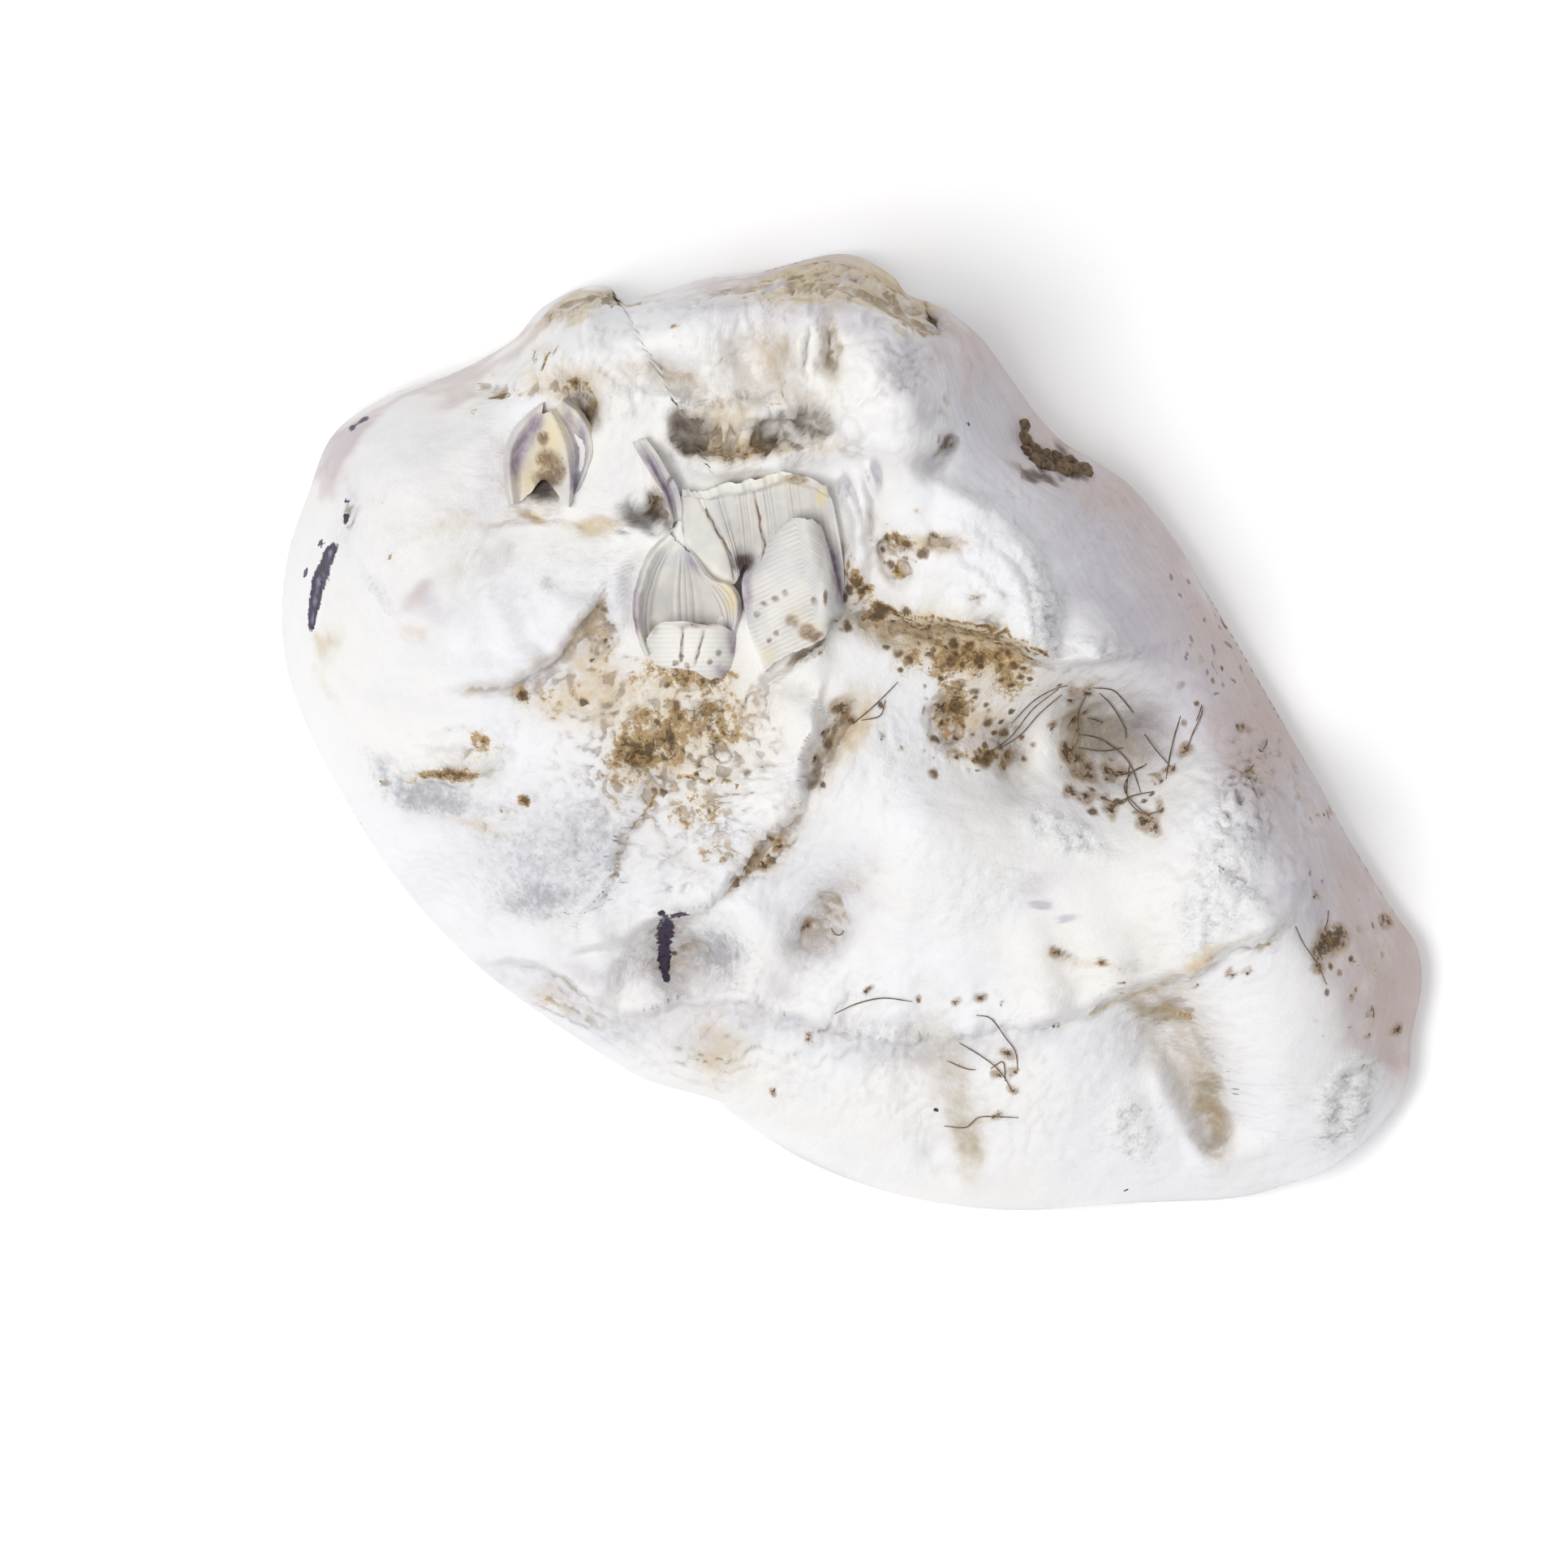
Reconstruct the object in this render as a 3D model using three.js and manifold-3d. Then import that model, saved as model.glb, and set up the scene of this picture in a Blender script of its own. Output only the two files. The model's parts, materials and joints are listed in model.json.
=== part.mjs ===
// A weathered oyster shell: one cupped valve lying on its rim, with the remains of three
// barnacles cemented to it. Millimetres, +Z up. The shell's length runs along X, its rim rests
// on Z = 0, and the origin is the middle of its footprint.
import * as THREE from "three";
import { mergeVertices } from "three/addons/utils/BufferGeometryUtils.js";
import Module from "manifold-3d";

// Driving sizes
const TURN = THREE.MathUtils.degToRad(35); // from the plan as surveyed to the shell's length along X
const FOOTPRINT_MIDDLE = [2.77, -0.234]; // middle of the turned outline
const RIM_HEIGHT = 3.0; // outer face at the very edge
const RIM_BEVEL = 0.7; // underside of the edge, where it is worn round
const LAND_OUTER = 0.975; // flat land that the shell rests on, as shares of the way out
const LAND_INNER = 0.925;
const HINGE_PLATE = 0.13; // how much wider the land is below the hinge
const HINGE_DIRECTION = 104; // degrees
const HINGE_SPREAD = 26; // degrees
const WALL = 6; // thickness of the shell over the cup
const CUP_FULLNESS = 2.6;
const CUP_EASE = 25; // how loosely the inside of the cup follows the outer face
const LEDGE_EDGE = 9; // hinge ledge behind the umbo crest: height at the rim
const LEDGE_SLOPE = 2.6; // and how steeply it climbs to the crest
const TOP_SPACING = 1.6; // mesh spacing of the outer face
const RIM_RINGS = [0.06, 0.034, 0.016, 0.005, 0]; // closer rings on the flank, as shares in from the rim
const UNDER_SPACING = 3.4; // mesh spacing of the smooth inside
const MEAN_RADIUS = 43;
const SEAT_GAP = 0.3; // between a barnacle and the shell that carries it
const SEAT_REACH = 0.6; // how far round a point the seat clears the shell's bumps
const PLATE_GAP = 0.3; // between two plates of a barnacle

// Plan of the rim, going round anticlockwise from the right: across, up
const RIM = [
  [39.1, 0], [34.8, 7.4], [31, 13.8], [29.4, 16.6], [27.1, 19.7], [24.8, 22.3], [21.9, 24.3], [18.9, 26.1],
  [16.5, 28.6], [14.2, 31.8], [11.5, 35.4], [8.1, 38.2], [5, 39.3], [3.6, 41], [0.6, 42.7], [-2.5, 42.8],
  [-8.8, 41.2], [-13.2, 40.7], [-18, 39.3], [-20.6, 38.8], [-21.8, 40], [-24.6, 39.8], [-28, 37.9],
  [-30.5, 35.1], [-35.8, 32.2], [-41.6, 30.2], [-46.4, 26.8], [-48.6, 21.6], [-50.4, 16.3], [-51, 10.8],
  [-50.4, 5.3], [-48.3, -0.2], [-45.2, -6], [-40.5, -13.2], [-34.4, -19.9], [-27.8, -25], [-21.3, -29.3],
  [-17.9, -31.1], [-12.2, -32.7], [-10.6, -34], [-4, -38.2], [4.3, -41.2], [13.8, -42.5], [24.2, -41.9],
  [33.6, -41.5], [38.6, -40.3], [42.9, -38.6], [47.6, -34.6], [49.6, -31], [50, -27], [50.9, -22.3],
  [50.4, -18.8], [48.3, -15.7], [44.4, -9.4], [41.7, -4.4],
];

// Landmarks of the outer face before its ledges and hollows: across, up, height
const LANDMARKS = {
  umboCrest: [[-24, 33.5, 27], [-14, 35, 30], [-4, 35.5, 31.5], [2, 34, 32.5], [5, 29, 33], [5, 24, 31]],
  behindCrest: [[-26, 40, 21], [-10, 42, 25], [2, 43, 24]],
  topRightFlank: [
    [9.5, 34, 21], [13, 31, 15], [10, 27, 24], [16, 26, 16], [12, 22, 25.5], [19, 21, 20], [26, 20, 11],
  ],
  leftShoulder: [
    [-45, 25, 15], [-40, 24, 22], [-47, 14, 15], [-40, 16, 24], [-46, 5, 11], [-39, 8, 20.5],
    [-33, 22, 23.5], [-32, 13, 22.5], [-36, 31, 18],
  ],
  barnacleGround: [
    [-26, 22, 25.5], [-22, 16, 23.5], [-16, 30, 27.5], [-14, 20, 26.5], [-8, 30, 28.5], [-6, 18, 27],
    [-14, 9, 23.5], [-4, 9, 25.5], [0, 22, 28.5],
  ],
  middleLobe: [
    [8, 16, 28], [14, 15, 28], [16, 9, 27], [4, 13, 26.5], [21, 13, 21.5], [22, 8, 23], [27, 8, 18.5],
    [31, 10, 11.5],
  ],
  longHollow: [
    [10, 1, 20], [16, 1, 17.5], [22, 0, 14.5], [28, 1, 14.5], [25, -5, 15], [33, 0, 13], [37, 1, 9],
  ],
  scalyCone: [
    [-22, 3, 19.5], [-12, 2, 22.5], [-5, 1, 25], [-6, -5, 24], [-14, -6, 20], [-22, -5, 17],
  ],
  leftFlank: [
    [-44, -3, 8], [-37, -2, 13.5], [-36, -9, 9.5], [-28, -4, 15.5], [-28, -12, 12.5], [-30, -18, 7.5],
    [-21, -12, 15.5], [-22, -18, 12],
  ],
  greyPit: [[-16, -20, 9], [-10, -20, 12]],
  brownGroove: [[-4, -14, 15], [-1, -18, 14]],
  centreRib: [
    [3, -3, 23.5], [6, -9, 24.5], [5, -14, 21.5], [13, -8, 21.5], [14, -14, 20.5], [20, -9, 18.5],
    [10, -20, 17.5], [20, -18, 18.5],
  ],
  rightScale: [[31, -6, 18.5], [37, -6, 16], [34, -12, 21], [38, -14, 19], [30, -17, 19], [43, -12, 11]],
  lowerLayer: [
    [-24, -24, 6.5], [-14, -27, 6.5], [-5, -25, 10], [-4, -32, 6], [5, -25, 12.5], [4, -34, 7], [8, -39, 5],
  ],
  ribBetweenGrooves: [[16, -24, 16], [19, -31, 13], [21, -38, 7.5], [26, -26, 12.5]],
  rightRib: [
    [35, -22, 16.5], [38, -29, 14], [37, -37, 7.5], [42, -22, 14.5], [43, -33, 9], [47, -22, 8.5],
    [47, -29, 7],
  ],
};
const LANDMARK_EASE = 0.6; // how loosely the face follows them

// Growth ledges: the face stands higher on the left of the line as it is walked, and drops at it
const LEDGES = [
  { of: "lip of the left shoulder", rise: 2.2, fade: 5,
    along: [[-35.5, 4.3], [-32, 4.6], [-29, 5.5], [-26, 7.5], [-23.5, 10], [-21.5, 13.5]] },
  { of: "upper growth layer", rise: 1.6, fade: 6,
    along: [[-33, -20.3], [-29.5, -20.2], [-26.5, -21.3], [-24, -23.6], [-21, -24.8], [-18, -24.6],
      [-14, -23.6], [-10.5, -23.6], [-7, -24.4], [-1, -26.5], [6, -27.2], [14, -26], [19, -25],
      [23, -23.6], [28.5, -21.4], [34, -19.4], [37, -17.6], [38.8, -15.5], [39.8, -12], [39.6, -8]] },
  { of: "foot of the middle lobe", rise: 2.0, fade: 4,
    along: [[3, 11], [6, 10.3], [9, 9.6], [13, 8.3], [17, 6.3], [20, 6.2], [25, 7.3], [27.5, 8]] },
  { of: "scale of the middle lobe", rise: 1.2, fade: 4,
    along: [[18.5, 6.5], [17.5, 9.5], [17.2, 13.5], [15, 17.5], [11, 21], [7, 22.6]] },
  { of: "edge of the scaly cone", rise: 1.5, fade: 3,
    along: [[-4.8, -6.3], [-4, -2], [-2.8, 2], [-2, 6]] },
  { of: "foot of the scaly cone", rise: 2.2, fade: 5,
    along: [[-24, -19.3], [-21, -18.3], [-17, -16.3], [-13, -15], [-10.5, -12.5], [-8, -9.3], [-5, -6.5]] },
];

// Ridges and grooves: a line with a half-width and a height, below zero for a groove
const FURROWS = [
  { of: "brown channel", width: 1.3, height: -2.6,
    along: [[-0.5, 13], [1, 11.5], [3, 10], [8, 9], [13, 7.5], [17, 6]] },
  { of: "crack beside the cone", width: 1.3, height: -4.5,
    along: [[0.8, 4], [-1.5, 0], [-3, -3], [-4.5, -7]] },
  { of: "deep rim groove", width: 2.6, height: -4.5,
    along: [[26, -21.5], [29, -28], [31.5, -33], [34, -39]] },
  { of: "shallow rim groove", width: 2.6, height: -2.2, along: [[3, -25], [5, -30], [8, -35], [11, -41]] },
  { of: "notch of the right flank", width: 1.2, height: -4,
    along: [[15, 28.5], [15.5, 25], [18, 23.8], [21.5, 24.5]] },
  { of: "crease below the crest", width: 1.3, height: -4, along: [[5.4, 22.5], [7.5, 24.8], [9.8, 27.2]] },
  { of: "ridge beside the grey pit", width: 2.0, height: 1.6, along: [[-12, -13], [-7, -19], [-3, -24]] },
  { of: "crease behind the chevron", width: 1.1, height: -2.8,
    along: [[-26, 31], [-24, 29.5], [-22.5, 26.5]] },
  { of: "crease right of the scale", width: 1.5, height: -1.4,
    along: [[41, -10], [41, -16], [42, -20], [43, -23]] },
];

// Hollows and lumps: middle, half-widths across and up, height, turn in degrees
const HOLLOWS = [
  { of: "hollow in the crest", at: [-7, 34], half: [3, 3.4], height: -5.5, turn: 0 },
  { of: "hole left of the crest", at: [-14.5, 27], half: [1.8, 1.8], height: -5, turn: 0 },
  { of: "hole under the crest", at: [-7, 26.5], half: [2, 1.3], height: -4.5, turn: 35 },
  { of: "hole right of it", at: [-3.5, 28], half: [2, 1.5], height: -4, turn: 0 },
  { of: "hole beside the wing", at: [-18, 19.5], half: [2.4, 1.7], height: -5.5, turn: 0 },
  { of: "floor of the long hollow", at: [23, -0.5], half: [6, 5], height: -2.5, turn: -20 },
  { of: "grey pit", at: [-15.5, -20], half: [4.6, 3], height: -3.4, turn: -5 },
  { of: "brown pit", at: [-2, -17], half: [2.4, 4], height: -2.6, turn: -35 },
  { of: "purple pit", at: [14.5, -2.5], half: [2.2, 3], height: -2.2, turn: 0 },
  { of: "seat of the large barnacle", at: [-8, 17], half: [7.5, 7], height: -3, turn: 0 },
  { of: "seat of the small barnacle", at: [-14.5, 10.5], half: [4, 5], height: -2, turn: 0 },
  { of: "seat of the chevron barnacle", at: [-27.6, 24], half: [3, 4], height: -3.2, turn: 0 },
  { of: "lump on the crest", at: [3, 29], half: [2.6, 6], height: 2, turn: 10 },
  { of: "upper left lump", at: [-27, 33], half: [4.5, 1.8], height: 1.8, turn: 15 },
];

// How far in from the rim the face takes to reach its full height: direction in degrees, width
const SHOULDERS = [
  [-180, 13], [-150, 9], [-120, 6], [-90, 5], [-60, 4], [-35, 5], [0, 6], [60, 6], [90, 3.5], [120, 4.5],
  [150, 9], [165, 12], [180, 13],
];

// Top of the hinge ledge's cliff: the crest stands to the right of it as it is walked
const CLIFF = [
  [-31, 34.5], [-27, 36.8], [-22.5, 38.2], [-19, 37.6], [-12, 38.3], [-6, 38.8], [0, 38.2], [4, 36.4],
  [6.5, 35], [9.5, 36.5],
];

// Folds of the rim between its grooves: place, lift and how far they reach
const RIM_FOLDS = [
  { at: [22, -42], lift: 1.6, reach: 8 },
  { at: [43, -38], lift: 1.8, reach: 7 },
  { at: [-4, -38], lift: 0.9, reach: 7 },
];

// Barnacle remains: plan, how high the middle stands over the face, slopes, rim height and width, ribs
const BARNACLES = [
  { name: "barnacle_large_wall", middle: [-9, 19.5], stand: 1.6, slope: [0.04, 0.5], rim: 0, rimWidth: 1,
    ribs: { pitch: 1.9, depth: 0.35, across: true },
    plan: [[-18.4, 23.4], [-15.8, 18.8], [-13.4, 15.2], [-10.4, 12.6], [-8.5, 13.6], [-5, 14.2],
      [-1.2, 15.5], [-0.7, 19], [-1.2, 22.7], [-4, 23.8], [-8, 24], [-11, 22.8], [-15, 21.9],
      [-16.4, 23.4], [-18.2, 26.2], [-19.5, 26.2]] },
  { name: "barnacle_large_plate", middle: [-5, 12.5], stand: 4.2, slope: [0.16, 0.22], rim: 0, rimWidth: 1,
    ribs: { pitch: 1.1, depth: 0.14, across: false },
    plan: [[-9, 8.8], [-8, 5.2], [-7.2, 6.4], [-4.6, 7.6], [-2.6, 8.4], [-2.7, 10.2], [-1, 10.9],
      [-1.9, 15.6], [-3.2, 18.8], [-5.2, 19.4], [-7.4, 18.2], [-9.7, 14.6]] },
  { name: "barnacle_small_cup", middle: [-14.8, 10.5], stand: 0, slope: [0.08, 0.26], rim: 2.2, rimWidth: 1.1,
    ribs: { pitch: 1.3, depth: 0.25, across: true },
    plan: [[-18.2, 15.4], [-19.2, 12], [-19, 8.4], [-18, 5.8], [-15, 5], [-12.4, 4.8], [-10.8, 6.4],
      [-10.4, 9], [-10.9, 11.4], [-12.3, 13.8], [-14, 16.2], [-16, 17.2]] },
  { name: "barnacle_small_plate", middle: [-14.3, 7.8], stand: 3, slope: [0, 0.1], rim: -1.1, rimWidth: 1.6,
    ribs: { pitch: 0.9, depth: 0.12, across: false },
    plan: [[-17.2, 6.6], [-14.2, 6.2], [-12, 6.4], [-11.4, 8.2], [-11.9, 9.8], [-14, 10.3], [-16.6, 9.8],
      [-17.6, 8.6]] },
  { name: "barnacle_chevron", middle: [-27.4, 24.2], stand: -0.6, slope: [0, 0.2], rim: 2.0, rimWidth: 1.3,
    ribs: { pitch: 2, depth: 0.1, across: true },
    plan: [[-29.3, 28.2], [-30.5, 25.4], [-30.9, 22], [-30.3, 19.5], [-29, 20], [-27.6, 21.4],
      [-26.4, 20.2], [-25.2, 19.6], [-24.2, 21.2], [-23.6, 24], [-24.4, 26.8], [-26, 29.2],
      [-27.7, 29.8]] },
];
const PLATE_THICKNESS = 0.9; // the least
const PLATE_SPACING = 1.25;

const SHELL_FINISH = { color: 0xece9e3, roughness: 0.62, metalness: 0 };
const BARNACLE_FINISH = { color: 0xd3d3d2, roughness: 0.7, metalness: 0 };

const wasm = await Module();
wasm.setup();

const smooth = (x, low, high) => THREE.MathUtils.smoothstep(x, low, high);

// A closed smooth curve through the points, as [across, up] for each share of the way round
function closedCurve(points) {
  const corners = points.map(([u, v]) => new THREE.Vector3(u, v, 0));
  const curve = new THREE.CatmullRomCurve3(corners, true, "catmullrom", 0.5);
  curve.arcLengthDivisions = 1200;
  const length = curve.getLength();
  return { length, at: (share) => {
    const p = curve.getPointAt(((share % 1) + 1) % 1);
    return [p.x, p.y];
  } };
}

const rim = closedCurve(RIM);
const RIM_POINTS = Array.from({ length: 720 }, (_, i) => rim.at(i / 720));
const distanceToRim = (u, v) => Math.min(...RIM_POINTS.map(([a, b]) => Math.hypot(a - u, b - v)));

// Thin-plate spline through the landmarks: the face without its details
function fitFace(landmarks, ease) {
  const n = landmarks.length;
  const bend = (r) => (r > 0 ? r * r * Math.log(r) : 0);
  const rows = Array.from({ length: n + 3 }, (_, i) => {
    const row = new Array(n + 4).fill(0);
    if (i < n) {
      const [u, v, height] = landmarks[i];
      landmarks.forEach(([a, b], j) => (row[j] = bend(Math.hypot(a - u, b - v)) + (i === j ? ease : 0)));
      row.splice(n, 4, 1, u, v, height);
    } else {
      landmarks.forEach(([a, b], j) => (row[j] = [1, a, b][i - n]));
    }
    return row;
  });
  const weights = solve(rows);
  return (u, v) => landmarks.reduce(
    (sum, [a, b], j) => sum + weights[j] * bend(Math.hypot(a - u, b - v)),
    weights[n] + weights[n + 1] * u + weights[n + 2] * v,
  );
}

// Gaussian elimination with row pivots on rows that hold their right-hand side last
function solve(rows) {
  const n = rows.length;
  for (let c = 0; c < n; c++) {
    let best = c;
    for (let r = c + 1; r < n; r++) if (Math.abs(rows[r][c]) > Math.abs(rows[best][c])) best = r;
    [rows[c], rows[best]] = [rows[best], rows[c]];
    for (let r = c + 1; r < n; r++) {
      const factor = rows[r][c] / rows[c][c];
      for (let k = c; k <= n; k++) rows[r][k] -= factor * rows[c][k];
    }
  }
  const answer = new Array(n).fill(0);
  for (let r = n - 1; r >= 0; r--) {
    let sum = rows[r][n];
    for (let k = r + 1; k < n; k++) sum -= rows[r][k] * answer[k];
    answer[r] = sum / rows[r][r];
  }
  return answer;
}

// Closely spaced points of a line, with the direction to its left and how fully it counts there
const LINE_STEP = 0.5;
const LINE_SOFTNESS = 0.35;
const LINE_TAPER = 5;
function sampled(along) {
  const samples = [];
  const lengths = along.slice(1).map(([u, v], i) => Math.hypot(u - along[i][0], v - along[i][1]));
  const total = lengths.reduce((a, b) => a + b, 0);
  const taper = Math.min(LINE_TAPER, 0.35 * total);
  let walked = 0;
  lengths.forEach((length, i) => {
    const [[u, v], [a, b]] = [along[i], along[i + 1]];
    const steps = Math.max(1, Math.ceil(length / LINE_STEP));
    for (let s = 0; s <= steps; s++) {
      const way = walked + (length * s) / steps;
      const presence = smooth(way, 0, taper) * smooth(total - way, 0, taper);
      samples.push({ u: u + ((a - u) * s) / steps, v: v + ((b - v) * s) / steps,
        left: [-(b - v) / length, (a - u) / length], presence });
    }
    walked += length;
  });
  return samples;
}

// Where a point lies beside a sampled line: offset to its left, distance, and how fully it counts
function beside(samples, u, v) {
  let [weights, offset, square, presence] = [0, 0, 0, 0];
  for (const s of samples) {
    const [du, dv] = [u - s.u, v - s.v];
    const r2 = du * du + dv * dv;
    const weight = 1 / (r2 + LINE_SOFTNESS ** 2) ** 4;
    weights += weight;
    offset += weight * (du * s.left[0] + dv * s.left[1]);
    square += weight * r2;
    presence += weight * s.presence;
  }
  return { offset: offset / weights, distance: Math.sqrt(square / weights), presence: presence / weights };
}

const faceWithoutDetail = fitFace(Object.values(LANDMARKS).flat(), LANDMARK_EASE);
const insideForm = fitFace(Object.values(LANDMARKS).flat(), CUP_EASE);
const ledges = LEDGES.map((ledge) => ({ ...ledge, samples: sampled(ledge.along) }));
const furrows = FURROWS.map((furrow) => ({ ...furrow, samples: sampled(furrow.along) }));
const cliff = sampled(CLIFF);
const LEDGE_SOFTNESS = 0.7;

function ledgeRise({ samples, rise, fade }, u, v) {
  const { offset, presence } = beside(samples, u, v);
  const fading = Math.exp(-Math.max(offset, 0) / fade);
  return rise * presence * smooth(offset, -LEDGE_SOFTNESS, LEDGE_SOFTNESS) * fading;
}

function furrowRise({ samples, width, height }, u, v) {
  const { distance, presence } = beside(samples, u, v);
  return height * presence * Math.exp(-((distance / width) ** 2));
}

function hollowRise({ at, half, height, turn }, u, v) {
  const a = THREE.MathUtils.degToRad(turn);
  const [du, dv] = [u - at[0], v - at[1]];
  const across = (du * Math.cos(a) + dv * Math.sin(a)) / half[0];
  const up = (dv * Math.cos(a) - du * Math.sin(a)) / half[1];
  return height * Math.exp(-((across * across + up * up) ** 1.3));
}

function shoulderWidth(u, v) {
  const direction = THREE.MathUtils.radToDeg(Math.atan2(v, u));
  const next = Math.max(1, SHOULDERS.findIndex(([at]) => at >= direction));
  const [[from, a], [to, b]] = [SHOULDERS[next - 1], SHOULDERS[next]];
  return a + ((b - a) * (direction - from)) / (to - from);
}

// Height of the shell's outer face
function face(u, v) {
  let height = faceWithoutDetail(u, v);
  for (const ledge of ledges) height += ledgeRise(ledge, u, v);
  for (const furrow of furrows) height += furrowRise(furrow, u, v);
  for (const hollow of HOLLOWS) height += hollowRise(hollow, u, v);
  const { offset, presence } = beside(cliff, u, v);
  const behind = smooth(offset, -LEDGE_SOFTNESS, LEDGE_SOFTNESS) * Math.min(1, 3 * presence);
  const toRim = distanceToRim(u, v);
  height += (Math.min(LEDGE_EDGE + LEDGE_SLOPE * toRim, height) - height) * behind;
  const inwards = Math.min(1, toRim / shoulderWidth(u, v));
  const lift = rimLift(u, v);
  return RIM_HEIGHT + lift + (height - RIM_HEIGHT - lift) * Math.sqrt(Math.max(0, 1 - (1 - inwards) ** 2));
}

// How far the folds lift the rim off the ground
function rimLift(u, v) {
  return RIM_FOLDS.reduce((sum, { at, lift, reach }) => {
    const away = Math.hypot(u - at[0], v - at[1]) / reach;
    return sum + (away < 1 ? lift * (1 - away * away) ** 2 : 0);
  }, 0);
}

// Where the flat land ends and the cup begins, as a share of the way out: further in below the hinge
function landInner(share) {
  const [u, v] = rim.at(share);
  const away = (THREE.MathUtils.radToDeg(Math.atan2(v, u)) - HINGE_DIRECTION) / HINGE_SPREAD;
  return LAND_INNER - HINGE_PLATE * Math.exp(-(away ** 2));
}

// Height of the inside of the cup, a share of the way out from the middle to the land
function cupHeight(share, u, v) {
  return Math.max(0, insideForm(u, v) - WALL) * (1 - share ** CUP_FULLNESS) ** 0.85;
}

// A ring of points, each with its share of the way round; neighbouring rings are turned by half a step
function ring(count, turned, place) {
  return Array.from({ length: count }, (_, i) => {
    const share = (i + (turned ? 0.5 : 0)) / count;
    return { share, point: place(share) };
  });
}

// One closed surface from rings that run from the middle of the top, over the rim, to the middle
// of the underside
function ringSolid(rings) {
  const positions = [];
  const face3 = (...corners) => corners.forEach(({ point }) => positions.push(...point));
  for (let k = 1; k < rings.length; k++) {
    const [from, to] = [rings[k - 1], rings[k]];
    let [i, j] = [0, 0];
    const ends = [from.length > 1 ? from.length : 0, to.length > 1 ? to.length : 0];
    const shareOf = (list, n) => list[n % list.length].share + Math.floor(n / list.length);
    while (i < ends[0] || j < ends[1]) {
      const stepTo = i >= ends[0] || (j < ends[1] && shareOf(to, j + 1) <= shareOf(from, i + 1));
      const [a, b] = [from[i % from.length], to[j % to.length]];
      if (stepTo) face3(a, b, to[(j + 1) % to.length]);
      else face3(a, b, from[(i + 1) % from.length]);
      if (stepTo) j++;
      else i++;
    }
  }
  const geometry = new THREE.BufferGeometry();
  geometry.setAttribute("position", new THREE.Float32BufferAttribute(positions, 3));
  return mergeVertices(geometry, 1e-4);
}

function shellGeometry() {
  const onRim = (share, out, height) => {
    const [u, v] = rim.at(share).map((x) => x * out);
    return [u, v, height(u, v)];
  };
  const rings = [[{ share: 0, point: [0, 0, face(0, 0)] }]];
  const rimCount = Math.round(rim.length / TOP_SPACING);
  const evenRings = Math.round((MEAN_RADIUS * (1 - RIM_RINGS[0])) / TOP_SPACING);
  const shares = Array.from({ length: evenRings - 1 }, (_, k) => ((k + 1) / evenRings) * (1 - RIM_RINGS[0]));
  shares.push(...RIM_RINGS.map((inwards) => 1 - inwards));
  shares.forEach((out, k) => {
    rings.push(ring(Math.max(6, Math.round(rimCount * out)), k % 2, (share) => onRim(share, out, face)));
  });
  rings.push(ring(rimCount, false, (share) => onRim(share, 1, (u, v) => RIM_BEVEL + rimLift(u, v))));
  const underCount = Math.round(rim.length / UNDER_SPACING);
  rings.push(ring(underCount, true, (share) => onRim(share, LAND_OUTER, rimLift)));
  rings.push(ring(underCount, false, (share) => onRim(share, landInner(share), rimLift)));
  const cupRings = Math.round((MEAN_RADIUS * LAND_INNER) / UNDER_SPACING);
  for (let k = 1; k < cupRings; k++) {
    const inner = 1 - k / cupRings;
    const inside = (u, v) => cupHeight(inner, u, v) + rimLift(u, v);
    const count = Math.max(6, Math.round(underCount * inner));
    rings.push(ring(count, k % 2, (share) => onRim(share, landInner(share) * inner, inside)));
  }
  rings.push([{ share: 0, point: [0, 0, cupHeight(0, 0, 0)] }]);
  return ringSolid(rings);
}

// A barnacle plate: its ribbed top over its plan, and a seat that follows the shell below it
function plateGeometry({ middle, stand, slope, rim: edge, rimWidth, ribs, plan }) {
  const outline = closedCurve(plan);
  const place = (share, out) => {
    const [u, v] = outline.at(share);
    return [middle[0] + (u - middle[0]) * out, middle[1] + (v - middle[1]) * out];
  };
  const height = faceWithoutDetail(...middle) + stand;
  const outlinePoints = Array.from({ length: 160 }, (_, i) => outline.at(i / 160));
  const round = [[0, 0], [SEAT_REACH, 0], [-SEAT_REACH, 0], [0, SEAT_REACH], [0, -SEAT_REACH]];
  const seat = (u, v) => Math.max(...round.map(([du, dv]) => face(u + du, v + dv))) + SEAT_GAP;
  const top = (u, v) => {
    const toEdge = Math.min(...outlinePoints.map(([a, b]) => Math.hypot(a - u, b - v)));
    const along = ribs.across ? u : v;
    const ribbed = height + slope[0] * (u - middle[0]) + slope[1] * (v - middle[1]) +
      edge * (1 - smooth(toEdge, 0, rimWidth)) + ribs.depth * Math.cos((2 * Math.PI * along) / ribs.pitch);
    return Math.max(ribbed, seat(u, v) + PLATE_THICKNESS);
  };
  const raise = (height) => ([u, v]) => [u, v, height(u, v)];
  const count = Math.round(outline.length / PLATE_SPACING);
  const steps = Math.round(outline.length / (2 * Math.PI * PLATE_SPACING));
  const sheet = (height) => Array.from({ length: steps }, (_, k) => {
    const out = (k + 1) / steps;
    const points = Math.max(6, Math.round(count * out));
    return ring(points, k % 2, (share) => raise(height)(place(share, out)));
  });
  const middlePoint = (height) => [{ share: 0, point: raise(height)(middle) }];
  return ringSolid([middlePoint(top), ...sheet(top), ...sheet(seat).reverse(), middlePoint(seat)]);
}

function toSolid(geometry) {
  return new wasm.Manifold(new wasm.Mesh({
    numProp: 3,
    vertProperties: new Float32Array(geometry.attributes.position.array),
    triVerts: new Uint32Array(geometry.index.array),
  }));
}

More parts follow.
